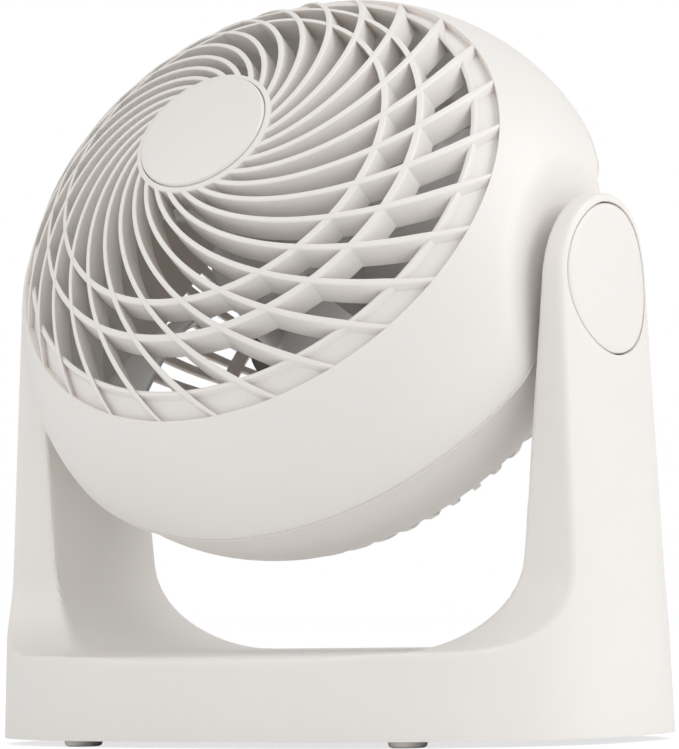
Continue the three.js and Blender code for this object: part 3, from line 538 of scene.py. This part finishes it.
class FAN_OT_front_shell(bpy.types.Operator):
    """Make the front shell with its throat and duct"""

    bl_idname = "fan.front_shell"
    bl_label = "Front Shell"

    def execute(self, context):
        head = context.scene.fan.head
        throat = dome_z(head, head.throat_radius) - head.throat_drop
        foot = throat - head.duct_length
        lip, edge = 0.0008, 0.0004
        duct = head.throat_radius + 0.0018
        gutter = dome_z(head, head.tip_radius) - head.gutter_depth
        inside, under = head.radius - head.wall, head.dome_height - head.wall
        tip = math.degrees(math.acos(head.tip_radius / head.radius))
        meet = math.degrees(math.acos(duct / inside))
        outline = [
            (head.radius - edge, head.seam), (head.radius - edge * 0.3, head.seam + edge * 0.3),
            (head.radius, head.seam + 0.0007), (head.radius - head.seam_line, head.seam + 0.0009),
            (head.radius - head.seam_line, head.seam + 0.0014), (head.radius - 0.0001, head.seam + 0.0016),
            *arc(head.radius, head.dome_height, head.seam, 1.4, tip, 56),
            (head.tip_radius - edge * 0.6, dome_z(head, head.tip_radius) - edge * 0.3),
            (head.tip_radius - edge, dome_z(head, head.tip_radius) - edge),
            (duct + 0.0022, gutter + 0.0006), (duct + 0.0008, gutter), (duct + 0.0002, gutter + 0.0003),
            (duct, gutter + 0.0010), (duct, (gutter + throat) / 2), (duct, throat - lip * 0.8),
            (duct - lip * 0.25, throat - lip * 0.2), (duct - lip * 0.8, throat),
            (head.throat_radius + lip * 0.8, throat), (head.throat_radius + lip * 0.25, throat - lip * 0.2),
            (head.throat_radius, throat - lip * 0.8),
            (head.throat_radius, (throat + foot) / 2), (head.throat_radius, foot + edge),
            (head.throat_radius + edge, foot), (duct - edge, foot), (duct, foot + edge),
            (duct, (throat + foot) / 2), *arc(inside, under, head.seam, meet, 0.3, 40),
            (inside + edge * 0.3, head.seam + edge * 0.3), (inside + edge, head.seam),
        ]
        shell = placed(flattened(revolve(outline, 312), head), "front_shell", head_frame(), 40.0)
        dressed(shell, "head", "shell_plastic", ["front_cover"])
        return {"FINISHED"}


class FAN_OT_grille(bpy.types.Operator):
    """Make the spiral ribs, the two rings and the hub ring"""

    bl_idname = "fan.grille"
    bl_label = "Grille"

    def execute(self, context):
        head = context.scene.fan.head
        ribs = bmesh.new()
        for index in range(head.rib_count):
            self.add_rib(ribs, head, index)
        self.place(ribs, "grille_ribs")
        for name, middle in (("grille_ring_inner", head.ring_inner), ("grille_ring_outer", head.ring_outer)):
            half = head.ring_thickness / 2
            foot = dome_z(head, middle) - head.rib_depth
            outline = [
                (middle - half, foot), (middle + half, foot),
                (middle + half, dome_z(head, middle + half) - GAP),
                (middle - half, dome_z(head, middle - half) - GAP),
            ]
            self.place(revolve(outline, 156), name)
        rim = dome_z(head, head.disc_radius) + head.disc_rise
        plate = rim - head.disc_thickness - GAP
        inside = head.disc_radius + GAP
        foot = dome_z(head, head.hub_radius) - head.rib_depth
        hub = [
            (0.0, plate - head.wall), (inside - 0.001, plate - head.wall), (inside, foot),
            (head.hub_radius, foot), (head.hub_radius, dome_z(head, head.hub_radius)),
            (inside, dome_z(head, inside) + GAP), (inside, plate), (0.0, plate),
        ]
        self.place(revolve(hub, 130, closed=False), "grille_hub")
        return {"FINISHED"}

    def add_rib(self, bm, head, index):
        """Adds one rib: a bar bent along the spiral, thinner and shallower where it runs out on the shell."""
        inner = head.hub_radius - head.ring_thickness / 2
        outer = head.tip_radius + 0.0004
        made = bmesh.ops.create_grid(bm, x_segments=34, y_segments=1, size=0.5)
        made = bmesh.ops.extrude_face_region(bm, geom=list({f for v in made["verts"] for f in v.link_faces}))
        top = {v for v in made["geom"] if isinstance(v, bmesh.types.BMVert)}
        island = {v for t in top for e in t.link_edges for v in e.verts}
        for vert in island:
            along, across = vert.co.x + 0.5, vert.co.y * 2
            radius = inner + along * (outer - inner)
            turn = rib_angle(head, radius) + index * TURN / head.rib_count
            ahead = (rib_angle(head, radius + 5e-4) - rib_angle(head, radius - 5e-4)) / 1e-3
            heading = turn + math.atan(radius * ahead)
            tip = smooth_share(radius, head.throat_radius, head.tip_radius)
            side = across * head.rib_thickness / 2 * (1 - 0.5 * tip)
            x = radius * math.cos(turn) + side * math.sin(heading)
            y = radius * math.sin(turn) - side * math.cos(heading)
            under = GAP * tip if vert in top else head.rib_depth * (1 - 0.3 * tip)
            vert.co = (x, y, dome_z(head, math.hypot(x, y)) - under)

    def place(self, bm, name):
        """Finishes a piece of the grille."""
        bmesh.ops.recalc_face_normals(bm, faces=bm.faces)
        obj = placed(bm, name, head_frame(), 40.0)
        bevelled(obj, 0.0004, 3, 40.0)
        dressed(obj, "head", "shell_plastic")


class FAN_OT_disc(bpy.types.Operator):
    """Make the plain disc in the middle of the grille"""

    bl_idname = "fan.disc"
    bl_label = "Disc"

    def execute(self, context):
        head = context.scene.fan.head
        rim = dome_z(head, head.disc_radius) + head.disc_rise
        edge = 0.0006
        flat = head.disc_radius - edge
        crown = [
            (flat - flat * t, rim + head.disc_crown * (1 - (1 - t) ** 2))
            for t in (0.0, 0.08, 0.25, 0.5, 0.75, 1.0)
        ]
        outline = [
            (0.0, rim - head.disc_thickness),
            (head.disc_radius, rim - head.disc_thickness),
            (head.disc_radius, rim - edge),
            (head.disc_radius - edge * 0.3, rim - edge * 0.3),
            *crown,
        ]
        disc = placed(revolve(outline, 130, closed=False), "badge_disc", head_frame(), 50.0)
        dressed(disc, "head", "badge_plastic", ["hub_badge"])
        return {"FINISHED"}


class FAN_OT_rear_shell(bpy.types.Operator):
    """Make the slotted rear shell"""

    bl_idname = "fan.rear_shell"
    bl_label = "Rear Shell"

    def execute(self, context):
        head = context.scene.fan.head
        rows = ((0.046, 0.0625), (0.0665, 0.0855))
        radii = [0.0, 0.008, 0.016, 0.024, 0.031, 0.0375, 0.0425]
        for low, high in rows:
            radii += [low + (high - low) * share for share in (0.0, 0.08, 0.3, 0.5, 0.7, 0.92, 1.0)]
        radii += [0.0872, 0.0888, 0.0902, 0.0914, 0.0926, 0.0937, 0.0946, 0.0952, 0.0957, 0.0961]
        skin = [(r, bowl_z(head, r)) for r in radii] + [(head.bowl_radius, head.seam - GAP)]
        bm = revolve(skin, head.slot_count * 6, closed=False)
        pitch = TURN / head.slot_count

        def open_face(face):
            middle = face.calc_center_median()
            radius = math.hypot(middle.x, middle.y)
            share = (math.atan2(middle.y, middle.x) % pitch) / pitch
            return any(low < radius < high for low, high in rows) and share < 4 / 6

        bmesh.ops.delete(bm, geom=[f for f in bm.faces if open_face(f)], context="FACES")
        shell = placed(flattened(bm, head), "rear_shell", head_frame(), 40.0)
        thickened(shell, head.wall)
        bevelled(shell, 0.0004, 2, 60.0)
        dressed(shell, "head", "shell_plastic", ["rear_housing"])
        return {"FINISHED"}


class FAN_OT_impeller(bpy.types.Operator):
    """Make the impeller's blades and hub"""

    bl_idname = "fan.impeller"
    bl_label = "Impeller"

    def execute(self, context):
        rotor = context.scene.fan.rotor
        blades = bmesh.new()
        for index in range(rotor.blade_count):
            self.add_blade(blades, rotor, index)
        bmesh.ops.recalc_face_normals(blades, faces=blades.faces)
        obj = placed(blades, "impeller_blades", head_frame(), 60.0)
        thickened(obj, rotor.blade_thickness, 0.0)
        bevelled(obj, 0.0005, 2, 50.0)
        dressed(obj, "rotor", "blade_plastic")
        back, front, radius = rotor.front - rotor.hub_length, rotor.front, rotor.hub_radius
        wall = 0.0022
        nose = [(radius - 0.006 + 0.006 * math.cos(a), front - 0.006 + 0.006 * math.sin(a))
                for a in [math.radians(15 * i) for i in range(7)]]
        outline = [(radius - wall, back), (radius, back), *nose, (0.0033, front),
                   (0.0033, front - wall), (radius - 0.006, front - wall), (radius - wall, front - 0.007)]
        hub = placed(revolve(outline, 96), "impeller_hub", head_frame(), 40.0)
        dressed(hub, "rotor", "blade_plastic", ["impeller"])
        return {"FINISHED"}

    def add_blade(self, bm, rotor, index):
        """Adds one blade: a twisted, cambered sheet wrapped round the shaft's axis."""
        made = bmesh.ops.create_grid(bm, x_segments=16, y_segments=10, size=0.5)
        root = rotor.hub_radius - 0.0012
        middle = rotor.front - rotor.hub_length / 2
        for vert in made["verts"]:
            out, across = vert.co.x + 0.5, vert.co.y * 2
            radius = root + out * (rotor.blade_radius - root)
            chord = 0.034 + 0.032 * math.sin(out * math.pi / 2)
            pitch = math.radians(48 - 21 * out)
            along = across * chord / 2 * (1 - 0.12 * out ** 6)
            lift = 0.07 * chord * (1 - across * across)
            turn = (along * math.cos(pitch) - lift * math.sin(pitch)) / radius + 0.2 * out * out
            turn += index * TURN / rotor.blade_count
            z = middle + along * math.sin(pitch) + lift * math.cos(pitch)
            vert.co = (radius * math.cos(turn), radius * math.sin(turn), z)


class FAN_OT_motor(bpy.types.Operator):
    """Make the two pressed cans of the motor"""

    bl_idname = "fan.motor"
    bl_label = "Motor"

    def execute(self, context):
        rotor = context.scene.fan.rotor
        wall = 0.0016
        back = -0.044
        middle = back + rotor.motor_length / 2
        flanges = {
            "motor_rear_can": (rotor.motor_radius + 0.0076, 1),
            "motor_front_can": (rotor.motor_radius + wall, -1),
        }
        for name, (flange, side) in flanges.items():
            radius = rotor.motor_radius
            outline = [
                (0.004, 0.0), (radius - 0.003, 0.0), (flange, 0.0), (flange, wall), (radius, wall),
                (radius, rotor.motor_length / 2 - GAP / 2), (radius - wall, rotor.motor_length / 2 - GAP / 2),
                (radius - wall, 2 * wall), (0.004, 2 * wall),
            ]
            bm = revolve(outline, 80)
            turn = Matrix() if side > 0 else Matrix.Rotation(math.pi, 4, "X")
            start = Matrix.Translation((0, 0, middle - side * rotor.motor_length / 2))
            can = placed(bm, name.replace("motor_", "pressed_"), head_frame() @ start @ turn, 40.0)
            bevelled(can, 0.0005, 2, 50.0)
            dressed(can, "head", "motor_steel", [name])
        return {"FINISHED"}


class FAN_OT_knob(bpy.types.Operator):
    """Make the fluted speed knob with its pointer"""

    bl_idname = "fan.knob"
    bl_label = "Knob"

    def execute(self, context):
        head, rotor = context.scene.fan.head, context.scene.fan.rotor
        face = head.seam - head.bowl_depth - 2 * GAP
        back = face - rotor.knob_height
        radius = rotor.knob_radius
        outline = [
            (0.0, back), (radius * 0.5, back), (radius - 0.0022, back + 0.0001),
            (radius - 0.0012, back + 0.0008), (radius - 0.0008, back + 0.0020),
            (radius - 0.0003, face - 0.003), (radius, face - 0.001), (radius, face), (0.0, face),
        ]
        bm = revolve(outline, 144, closed=False)
        for vert in bm.verts:
            r = math.hypot(vert.co.x, vert.co.y)
            if r > radius - 0.0015 and back + 0.0005 < vert.co.z < face - 0.0005:
                flute = 1 - 0.03 * max(0.0, math.cos(24 * math.atan2(vert.co.y, vert.co.x)))
                vert.co.x *= flute
                vert.co.y *= flute
        knob = placed(bm, "knob_skirt", head_frame(), 50.0)
        dressed(knob, "knob", "shell_plastic", ["speed_knob"])
        pointer = bmesh.new()
        middle = Matrix.Translation((0, radius * 0.45, back - 0.0001))
        size = Matrix.Diagonal((0.0024, radius * 0.8, 0.0022, 1))
        bmesh.ops.create_cube(pointer, size=1.0, matrix=middle @ size)
        bar = placed(pointer, "knob_pointer", head_frame())
        bevelled(bar, 0.0006, 3)
        dressed(bar, "knob", "shell_plastic")
        return {"FINISHED"}


class StandShapes:
    """Solids of the stand, for joining and cutting."""

    ACROSS = Matrix(((0, 0, 1, 0), (1, 0, 0, 0), (0, 1, 0, 0), (0, 0, 0, 1)))
    THROUGH = Matrix(((1, 0, 0, 0), (0, 0, 1, 0), (0, 1, 0, 0), (0, 0, 0, 1)))

    def tower(self, stand, inset, low, high, segments=160):
        """The oval plan, tapering upwards."""
        bm = bmesh.new()
        bmesh.ops.create_circle(bm, cap_ends=True, segments=segments, radius=1.0)
        half_width, half_depth = stand.half_width - inset, stand.half_depth - inset
        power = 2 / stand.plan_power
        for vert in bm.verts:
            c, s = vert.co.x, vert.co.y
            vert.co.x = half_width * math.copysign(abs(c) ** power, c)
            vert.co.y = half_depth * math.copysign(abs(s) ** power, s)
            vert.co.z = low
        pulled = bmesh.ops.extrude_face_region(bm, geom=bm.faces[:])
        for vert in [v for v in pulled["geom"] if isinstance(v, bmesh.types.BMVert)]:
            vert.co.z = high
        for vert in bm.verts:
            vert.co.x *= 1 - stand.taper * vert.co.z / half_width
        bmesh.ops.triangulate(bm, faces=[f for f in bm.faces if len(f.verts) == 4])
        bmesh.ops.recalc_face_normals(bm, faces=bm.faces)
        return to_object(bm, "tower")

    def profile(self, stand, inset, low):
        """The stand seen from the side: low base, sweeps and round-topped uprights."""
        wall = stand.half_depth - inset
        lean = wall - stand.front_lean
        shelf = stand.shelf - inset
        foot, top = stand.upright_foot - inset, stand.upright_top - inset
        peak = PIVOT.z + stand.upright_top - inset
        half = [
            ((wall, low), (0, 1)),
            ((lean, shelf), (stand.shelf_edge - inset / 2, 5)),
            ((foot, shelf), (stand.sweep + inset, 16)),
            ((top, peak), (top * 0.999, 20)),
        ]
        points = half + [((-y, z), round_off) for (y, z), round_off in reversed(half)]
        corners = [point for point, _ in points]
        radii = [round_off for _, round_off in points]
        return to_object(rounded_plate(corners, radii, self.ACROSS, -REACH / 2, REACH / 2), "profile")

    def arch(self, stand, inset):
        """The opening between the uprights."""
        lean = math.atan(stand.inner_lean)
        reach = stand.inner * math.cos(lean) - PIVOT.z * math.sin(lean)
        shelf = stand.shelf - inset
        top = (reach + inset + REACH * math.sin(lean)) / math.cos(lean)
        foot = (reach + inset + shelf * math.sin(lean)) / math.cos(lean)
        round_off = (stand.corner + inset) * math.tan((math.pi / 2 - lean) / 2)
        corners = [(top, REACH), (-top, REACH), (-foot, shelf), (foot, shelf)]
        radii = [(0, 1), (0, 1), (round_off, 18), (round_off, 18)]
        return to_object(rounded_plate(corners, radii, self.THROUGH, -REACH / 2, REACH / 2), "arch")

    def solid(self, stand, inset, low):
        """The whole stand as one solid."""
        tower = self.tower(stand, inset, low, REACH / 2)
        body = combined(tower, [self.profile(stand, inset, low - 0.005)], "INTERSECT")
        return combined(body, [self.arch(stand, inset)], "DIFFERENCE")

    def outside(self, stand, points):
        """About how far points lie outside the stand's rounded outer surface, negative inside."""
        x, y, z = np.abs(points[:, 0]), np.maximum(np.abs(points[:, 1]), 1e-6), points[:, 2]
        power, reach = stand.plan_power, np.hypot(x, y)
        width = stand.half_width - stand.taper * z
        share = ((x / width) ** power + (y / stand.half_depth) ** power) ** (1 / power)
        plan = reach - reach / share
        wall = y - stand.half_depth + stand.front_lean * z / stand.shelf
        base = rounded_both(z - stand.shelf, wall, stand.shelf_edge)
        bend = stand.shelf + stand.sweep
        rise = np.clip((z - bend) / (PIVOT.z - bend), 0.0, 1.0)
        side = y - stand.upright_foot + (stand.upright_foot - stand.upright_top) * rise
        upright = np.where(z > PIVOT.z, np.hypot(y, z - PIVOT.z) - stand.upright_top, side)
        profile = -rounded_both(-base, -upright, stand.sweep)
        inner = (x - stand.inner + stand.inner_lean * (PIVOT.z - z)) * math.cos(math.atan(stand.inner_lean))
        opening = rounded_both(stand.shelf - z, inner, stand.corner)
        return rounded_both(rounded_both(plan, profile, stand.edge), -opening, stand.edge)

    def relaxed(self, stand, obj, low):
        """Spreads a dense mesh evenly over the rounded outer surface, keeping its flat foot."""
        count = len(obj.data.vertices)
        for _ in range(3):
            bm = bmesh.new()
            bm.from_mesh(obj.data)
            free = [v for v in bm.verts if v.co.z > low + 0.0015]
            bmesh.ops.smooth_vert(
                bm, verts=free, factor=0.5, use_axis_x=True, use_axis_y=True, use_axis_z=True
            )
            bm.to_mesh(obj.data)
            bm.free()
            flat = np.empty(count * 3)
            obj.data.vertices.foreach_get("co", flat)
            points = flat.reshape(-1, 3)
            step = 1e-6
            for _ in range(4):
                depth = self.outside(stand, points)
                slope = np.stack([
                    (self.outside(stand, points + step * axis) - depth) / step for axis in np.eye(3)
                ], axis=1)
                size = np.maximum((slope ** 2).sum(axis=1), 0.05)
                move = np.clip(depth / size, -0.001, 0.001)[:, None] * slope
                move[np.abs(depth) > 0.003] = 0.0
                foot = points[:, 2] < low + 0.0008
                move[foot, 2] = 0.0
                points -= move
            obj.data.vertices.foreach_set("co", points.ravel())
        obj.data.update()
        return obj

    def at_inlet(self):
        """Along the cord inlet, out through the rear wall, in the stand's frame."""
        return Matrix.Translation((0, 0, INLET_HEIGHT)) @ Matrix.Rotation(-math.pi / 2, 4, "X")

    def at_pivot(self, side):
        """Along the pivot in the stand's frame."""
        return Matrix.Translation((0, 0, PIVOT.z)) @ Matrix.Rotation(side * math.pi / 2, 4, "Y")


class FAN_OT_stand(StandShapes, bpy.types.Operator):
    """Make the moulded U-shaped stand"""

    bl_idname = "fan.stand"
    bl_label = "Stand"

    def execute(self, context):
        stand = context.scene.fan.stand
        low = 0.002
        boss_radius, pin_bore, screw_well, inlet_bore = 0.014, 0.0075, 0.019, 0.0049
        boss = stand.inner - BOSS_RECESS
        web = boss + 0.0044
        outermost = stand.half_width - stand.taper * PIVOT.z
        seat = outermost - stand.cap_seat
        boring, pucks, bosses = [], [], []
        for side, _ in SIDES:
            place = self.at_pivot(side)
            pucks.append(cylinder(stand.upright_top - 0.0002, boss + 0.001, REACH / 2, 96, place))
            bosses.append(cylinder(boss_radius, boss, web, 64, place))
            boring.append(cylinder(pin_bore, boss - 0.002, web + 0.002, 48, place))
            boring.append(cylinder(screw_well, web, REACH / 2, 64, place))
            boring.append(cylinder(stand.cap_radius + 0.0005, seat - GAP, REACH / 2, 128, place))
        boring.append(cylinder(inlet_bore, 0.03, REACH / 2, 48, self.at_inlet()))
        hollow = combined(self.solid(stand, stand.wall, low - 0.005), pucks, "DIFFERENCE")
        hood = self.solid(stand, 0.0, low)
        dense = hood.modifiers.new("Remesh", "REMESH")
        dense.mode = "VOXEL"
        dense.voxel_size = stand.grain
        hood = self.relaxed(stand, combined(hood, [], "UNION"), low)
        hood = combined(hood, [hollow], "DIFFERENCE")
        hood = combined(hood, bosses, "UNION")
        hood = combined(hood, boring, "DIFFERENCE")
        hood.name = "stand_hood"
        smoothed(hood.data, 30.0)
        hood.data.transform(stand_frame())
        dressed(hood, "stand", "shell_plastic", ["stand_frame"])
        return {"FINISHED"}


class FAN_OT_caps(StandShapes, bpy.types.Operator):
    """Make the two round caps that follow the outside of the uprights"""

    bl_idname = "fan.caps"
    bl_label = "Side Caps"

    def execute(self, context):
        stand = context.scene.fan.stand
        radius, wall, edge = stand.cap_radius, 0.0020, 0.0007
        rings = [radius * share for share in (0.0, 0.2, 0.4, 0.55, 0.68, 0.78, 0.86, 0.92)]
        top = [(r, 0.0) for r in rings]
        top += [(radius - edge, 0.0), (radius - edge * 0.3, -edge * 0.3), (radius, -edge)]
        under = [(radius, -wall - 0.0008), (radius - 0.0015, -wall - 0.0008), (radius - 0.0022, -wall)]
        under += [(r, -wall) for r in reversed(rings)]
        for side, name in SIDES:
            bm = revolve(top + under, 128, closed=False)
            bmesh.ops.transform(bm, matrix=self.at_pivot(side), verts=bm.verts)
            for vert in bm.verts:
                half = stand.half_width - stand.taper * vert.co.z
                share = abs(vert.co.y) / stand.half_depth
                vert.co.x += side * half * (1 - share ** stand.plan_power) ** (1 / stand.plan_power)
            cap = placed(bm, f"cap_{name}", stand_frame())
            dressed(cap, "stand", "shell_plastic", [f"side_cap_{name}"])
        return {"FINISHED"}


class FAN_OT_base(StandShapes, bpy.types.Operator):
    """Make the base plate, the feet and the cord inlet"""

    bl_idname = "fan.base"
    bl_label = "Base"

    def execute(self, context):
        stand = context.scene.fan.stand
        low, high = 0.0026, 0.0046
        plate = self.tower(stand, stand.wall + 2 * GAP, low, high, 160)
        screws = [(x * 0.052, y * 0.036) for x, y in CORNERS]
        stems = [(x * 0.061, y * 0.052) for x, y in CORNERS]
        plate = combined(plate, self.rods(0.0053, low, 0.0072, 32, screws), "UNION")
        wells = self.rods(0.0033, -0.002, 0.0052, 32, screws) + self.rods(0.0018, 0.0, 0.02, 24, screws)
        plate = combined(plate, wells + self.rods(0.0033, -0.002, 0.02, 24, stems), "DIFFERENCE")
        plate.name = "base_tray"
        smoothed(plate.data, 35.0)
        plate.data.transform(stand_frame())
        bevelled(plate, 0.0003, 2, 45.0)
        dressed(plate, "stand", "inner_plastic", ["base_plate"])
        for x, y in stems:
            name = f"{'front' if y < 0 else 'rear'}_{'left' if x < 0 else 'right'}"
            outline = [
                (0.0, 0.0), (0.0048, 0.0), (0.0056, 0.0003), (0.006, 0.0010), (0.006, low - GAP),
                (0.003, low - GAP), (0.003, 0.0056), (0.0, 0.0056),
            ]
            spot = stand_frame() @ Matrix.Translation((x, y, 0))
            foot = placed(revolve(outline, 40, closed=False), f"rubber_foot_{name}", spot, 60.0)
            dressed(foot, "stand", "foot_rubber", [f"foot_{name}"])
        wall = stand.half_depth
        outline = [
            (0.0028, wall - 0.0069), (0.0046, wall - 0.0069), (0.0046, wall + GAP), (0.007, wall + GAP),
            (0.0068, wall + 0.0011), (0.0062, wall + 0.0017), (0.0034, wall + 0.0017),
            (0.0028, wall + 0.0012),
        ]
        gland = placed(revolve(outline, 48), "cord_inlet", stand_frame() @ self.at_inlet(), 40.0)
        dressed(gland, "stand", "foot_rubber", ["cord_gland"])
        return {"FINISHED"}

    def rods(self, radius, low, high, segments, places):
        """Upright rods at several places on the base."""
        return [cylinder(radius, low, high, segments, Matrix.Translation((x, y, 0))) for x, y in places]


class FAN_OT_pivots(bpy.types.Operator):
    """Make the round trunnions between the head and the uprights"""

    bl_idname = "fan.pivots"
    bl_label = "Pivots"

    def execute(self, context):
        head, stand = context.scene.fan.head, context.scene.fan.stand
        boss = stand.inner - BOSS_RECESS
        pad = boss - 1.3 * GAP
        outline = [
            (0.0, head.flat - head.wall - 0.0026), (0.012, head.flat - head.wall - 0.0026),
            (0.012, head.flat - head.wall - GAP), (0.008, head.flat - head.wall - GAP),
            (0.008, head.flat + GAP), (0.0126, head.flat + GAP), (0.013, head.flat + 0.0007),
            (0.013, pad - 0.0004), (0.0126, pad), (0.005, pad), (0.005, boss + 0.006), (0.0, boss + 0.006),
        ]
        for side, name in SIDES:
            pin = placed(revolve(outline, 72, closed=False), f"pivot_{name}", pivot_frame(side), 40.0)
            dressed(pin, "head", "inner_plastic", [f"trunnion_{name}"], "warm_white_plastic")
        return {"FINISHED"}


class FAN_OT_studio(bpy.types.Operator):
    """Make the floor, the lights and the camera"""

    bl_idname = "fan.studio"
    bl_label = "Studio"

    def execute(self, context):
        studio = context.scene.fan.studio
        self.add_camera(context, studio)
        self.add_floor()
        self.add_world(context, studio)
        self.add_light("key", (-0.9, -1.3, 1.5), 1.6, studio.key)
        self.add_light("rim", (1.3, 0.5, 1.0), 1.2, studio.fill)
        self.add_light("front", (0.9, -1.6, 0.5), 1.0, studio.fill * 0.2)
        context.scene.view_settings.view_transform = "Standard"
        return {"FINISHED"}

    def add_camera(self, context, studio):
        """A camera low in front of the fan, to its right."""
        az, yaw = studio.azimuth, studio.azimuth + studio.aim
        distance, level = studio.distance, math.cos(studio.pitch)
        place = Vector((distance * math.sin(az), PIVOT.y - distance * math.cos(az), studio.height))
        ahead = Vector((-math.sin(yaw) * level, math.cos(yaw) * level, math.sin(studio.pitch)))
        camera = bpy.data.objects.new("camera", bpy.data.cameras.new("camera"))
        camera.data.sensor_width = 36.0
        camera.data.lens = 36.0 * studio.focal
        camera.data.clip_end = 20.0
        camera.location = place
        camera.rotation_mode = "QUATERNION"
        roll = Matrix.Rotation(studio.roll, 4, "Z").to_quaternion()
        camera.rotation_quaternion = ahead.to_track_quat("-Z", "Y") @ roll
        context.scene.collection.objects.link(camera)
        context.scene.camera = camera

    def add_floor(self):
        """A pale floor that keeps a soft shadow and looks white far away."""
        share_of_white, strength_of_white = 0.6, 1.25
        bm = bmesh.new()
        bmesh.ops.create_grid(bm, x_segments=1, y_segments=1, size=6.0)
        floor = to_object(bm, "floor")
        material, shader, _ = surface("pale_floor", (0.92, 0.92, 0.92), 0.9)
        nodes, links = material.node_tree.nodes, material.node_tree.links
        white = nodes.new("ShaderNodeEmission")
        mix = nodes.new("ShaderNodeMixShader")
        seen = nodes.new("ShaderNodeLightPath")
        share = nodes.new("ShaderNodeMath")
        share.operation = "MULTIPLY"
        share.inputs[1].default_value = share_of_white
        white.inputs["Strength"].default_value = strength_of_white
        links.new(seen.outputs["Is Camera Ray"], share.inputs[0])
        links.new(share.outputs["Value"], mix.inputs["Fac"])
        links.new(shader.outputs["BSDF"], mix.inputs[1])
        links.new(white.outputs["Emission"], mix.inputs[2])
        links.new(mix.outputs["Shader"], nodes["Material Output"].inputs["Surface"])
        floor.data.materials.append(material)

    def add_world(self, context, studio):
        """Even light from all round, seen as white."""
        world = bpy.data.worlds.new("studio")
        world.use_nodes = True
        nodes, links = world.node_tree.nodes, world.node_tree.links
        room = nodes["Background"]
        room.inputs["Color"].default_value = (1.0, 1.0, 1.0, 1.0)
        room.inputs["Strength"].default_value = studio.ambient
        white = nodes.new("ShaderNodeBackground")
        white.inputs["Color"].default_value = (1.0, 1.0, 1.0, 1.0)
        mix = nodes.new("ShaderNodeMixShader")
        seen = nodes.new("ShaderNodeLightPath")
        links.new(seen.outputs["Is Camera Ray"], mix.inputs["Fac"])
        links.new(room.outputs["Background"], mix.inputs[1])
        links.new(white.outputs["Background"], mix.inputs[2])
        links.new(mix.outputs["Shader"], nodes["World Output"].inputs["Surface"])
        context.scene.world = world

    def add_light(self, name, place, size, power):
        """A square soft light that faces the fan."""
        light = bpy.data.lights.new(name, "AREA")
        light.shape = "SQUARE"
        light.size = size
        light.energy = power
        obj = bpy.data.objects.new(name, light)
        obj.location = place
        aim = Vector((0, 0, 0.12)) - Vector(place)
        obj.rotation_mode = "QUATERNION"
        obj.rotation_quaternion = aim.to_track_quat("-Z", "Y")
        bpy.context.scene.collection.objects.link(obj)


class FAN_PT_sidebar(bpy.types.Panel):
    """The fan's operators, in the order in which they run"""

    bl_idname = "FAN_PT_sidebar"
    bl_label = "Air Circulator Fan"
    bl_space_type = "VIEW_3D"
    bl_region_type = "UI"
    bl_category = "Fan"

    def draw(self, context):
        column = self.layout.column(align=True)
        for operator in OPERATORS:
            column.operator(operator.bl_idname)


OPERATORS = (
    FAN_OT_finishes,
    FAN_OT_front_shell,
    FAN_OT_grille,
    FAN_OT_disc,
    FAN_OT_rear_shell,
    FAN_OT_impeller,
    FAN_OT_motor,
    FAN_OT_knob,
    FAN_OT_stand,
    FAN_OT_caps,
    FAN_OT_base,
    FAN_OT_pivots,
    FAN_OT_studio,
)
GROUPS = (HeadSizes, RotorSizes, StandSizes, Finishes, StudioSettings, FanSettings)


def register():
    """Registers the settings, the operators and the panel."""
    for item in (*GROUPS, *OPERATORS, FAN_PT_sidebar):
        bpy.utils.register_class(item)
    bpy.types.Scene.fan = PointerProperty(type=FanSettings)


def unregister():
    """Removes what register() added."""
    del bpy.types.Scene.fan
    for item in reversed((*GROUPS, *OPERATORS, FAN_PT_sidebar)):
        bpy.utils.unregister_class(item)


def main():
    """Builds the whole scene."""
    register()
    for operator in OPERATORS:
        group, name = operator.bl_idname.split(".")
        getattr(getattr(bpy.ops, group), name)()


if __name__ == "__main__":
    main()
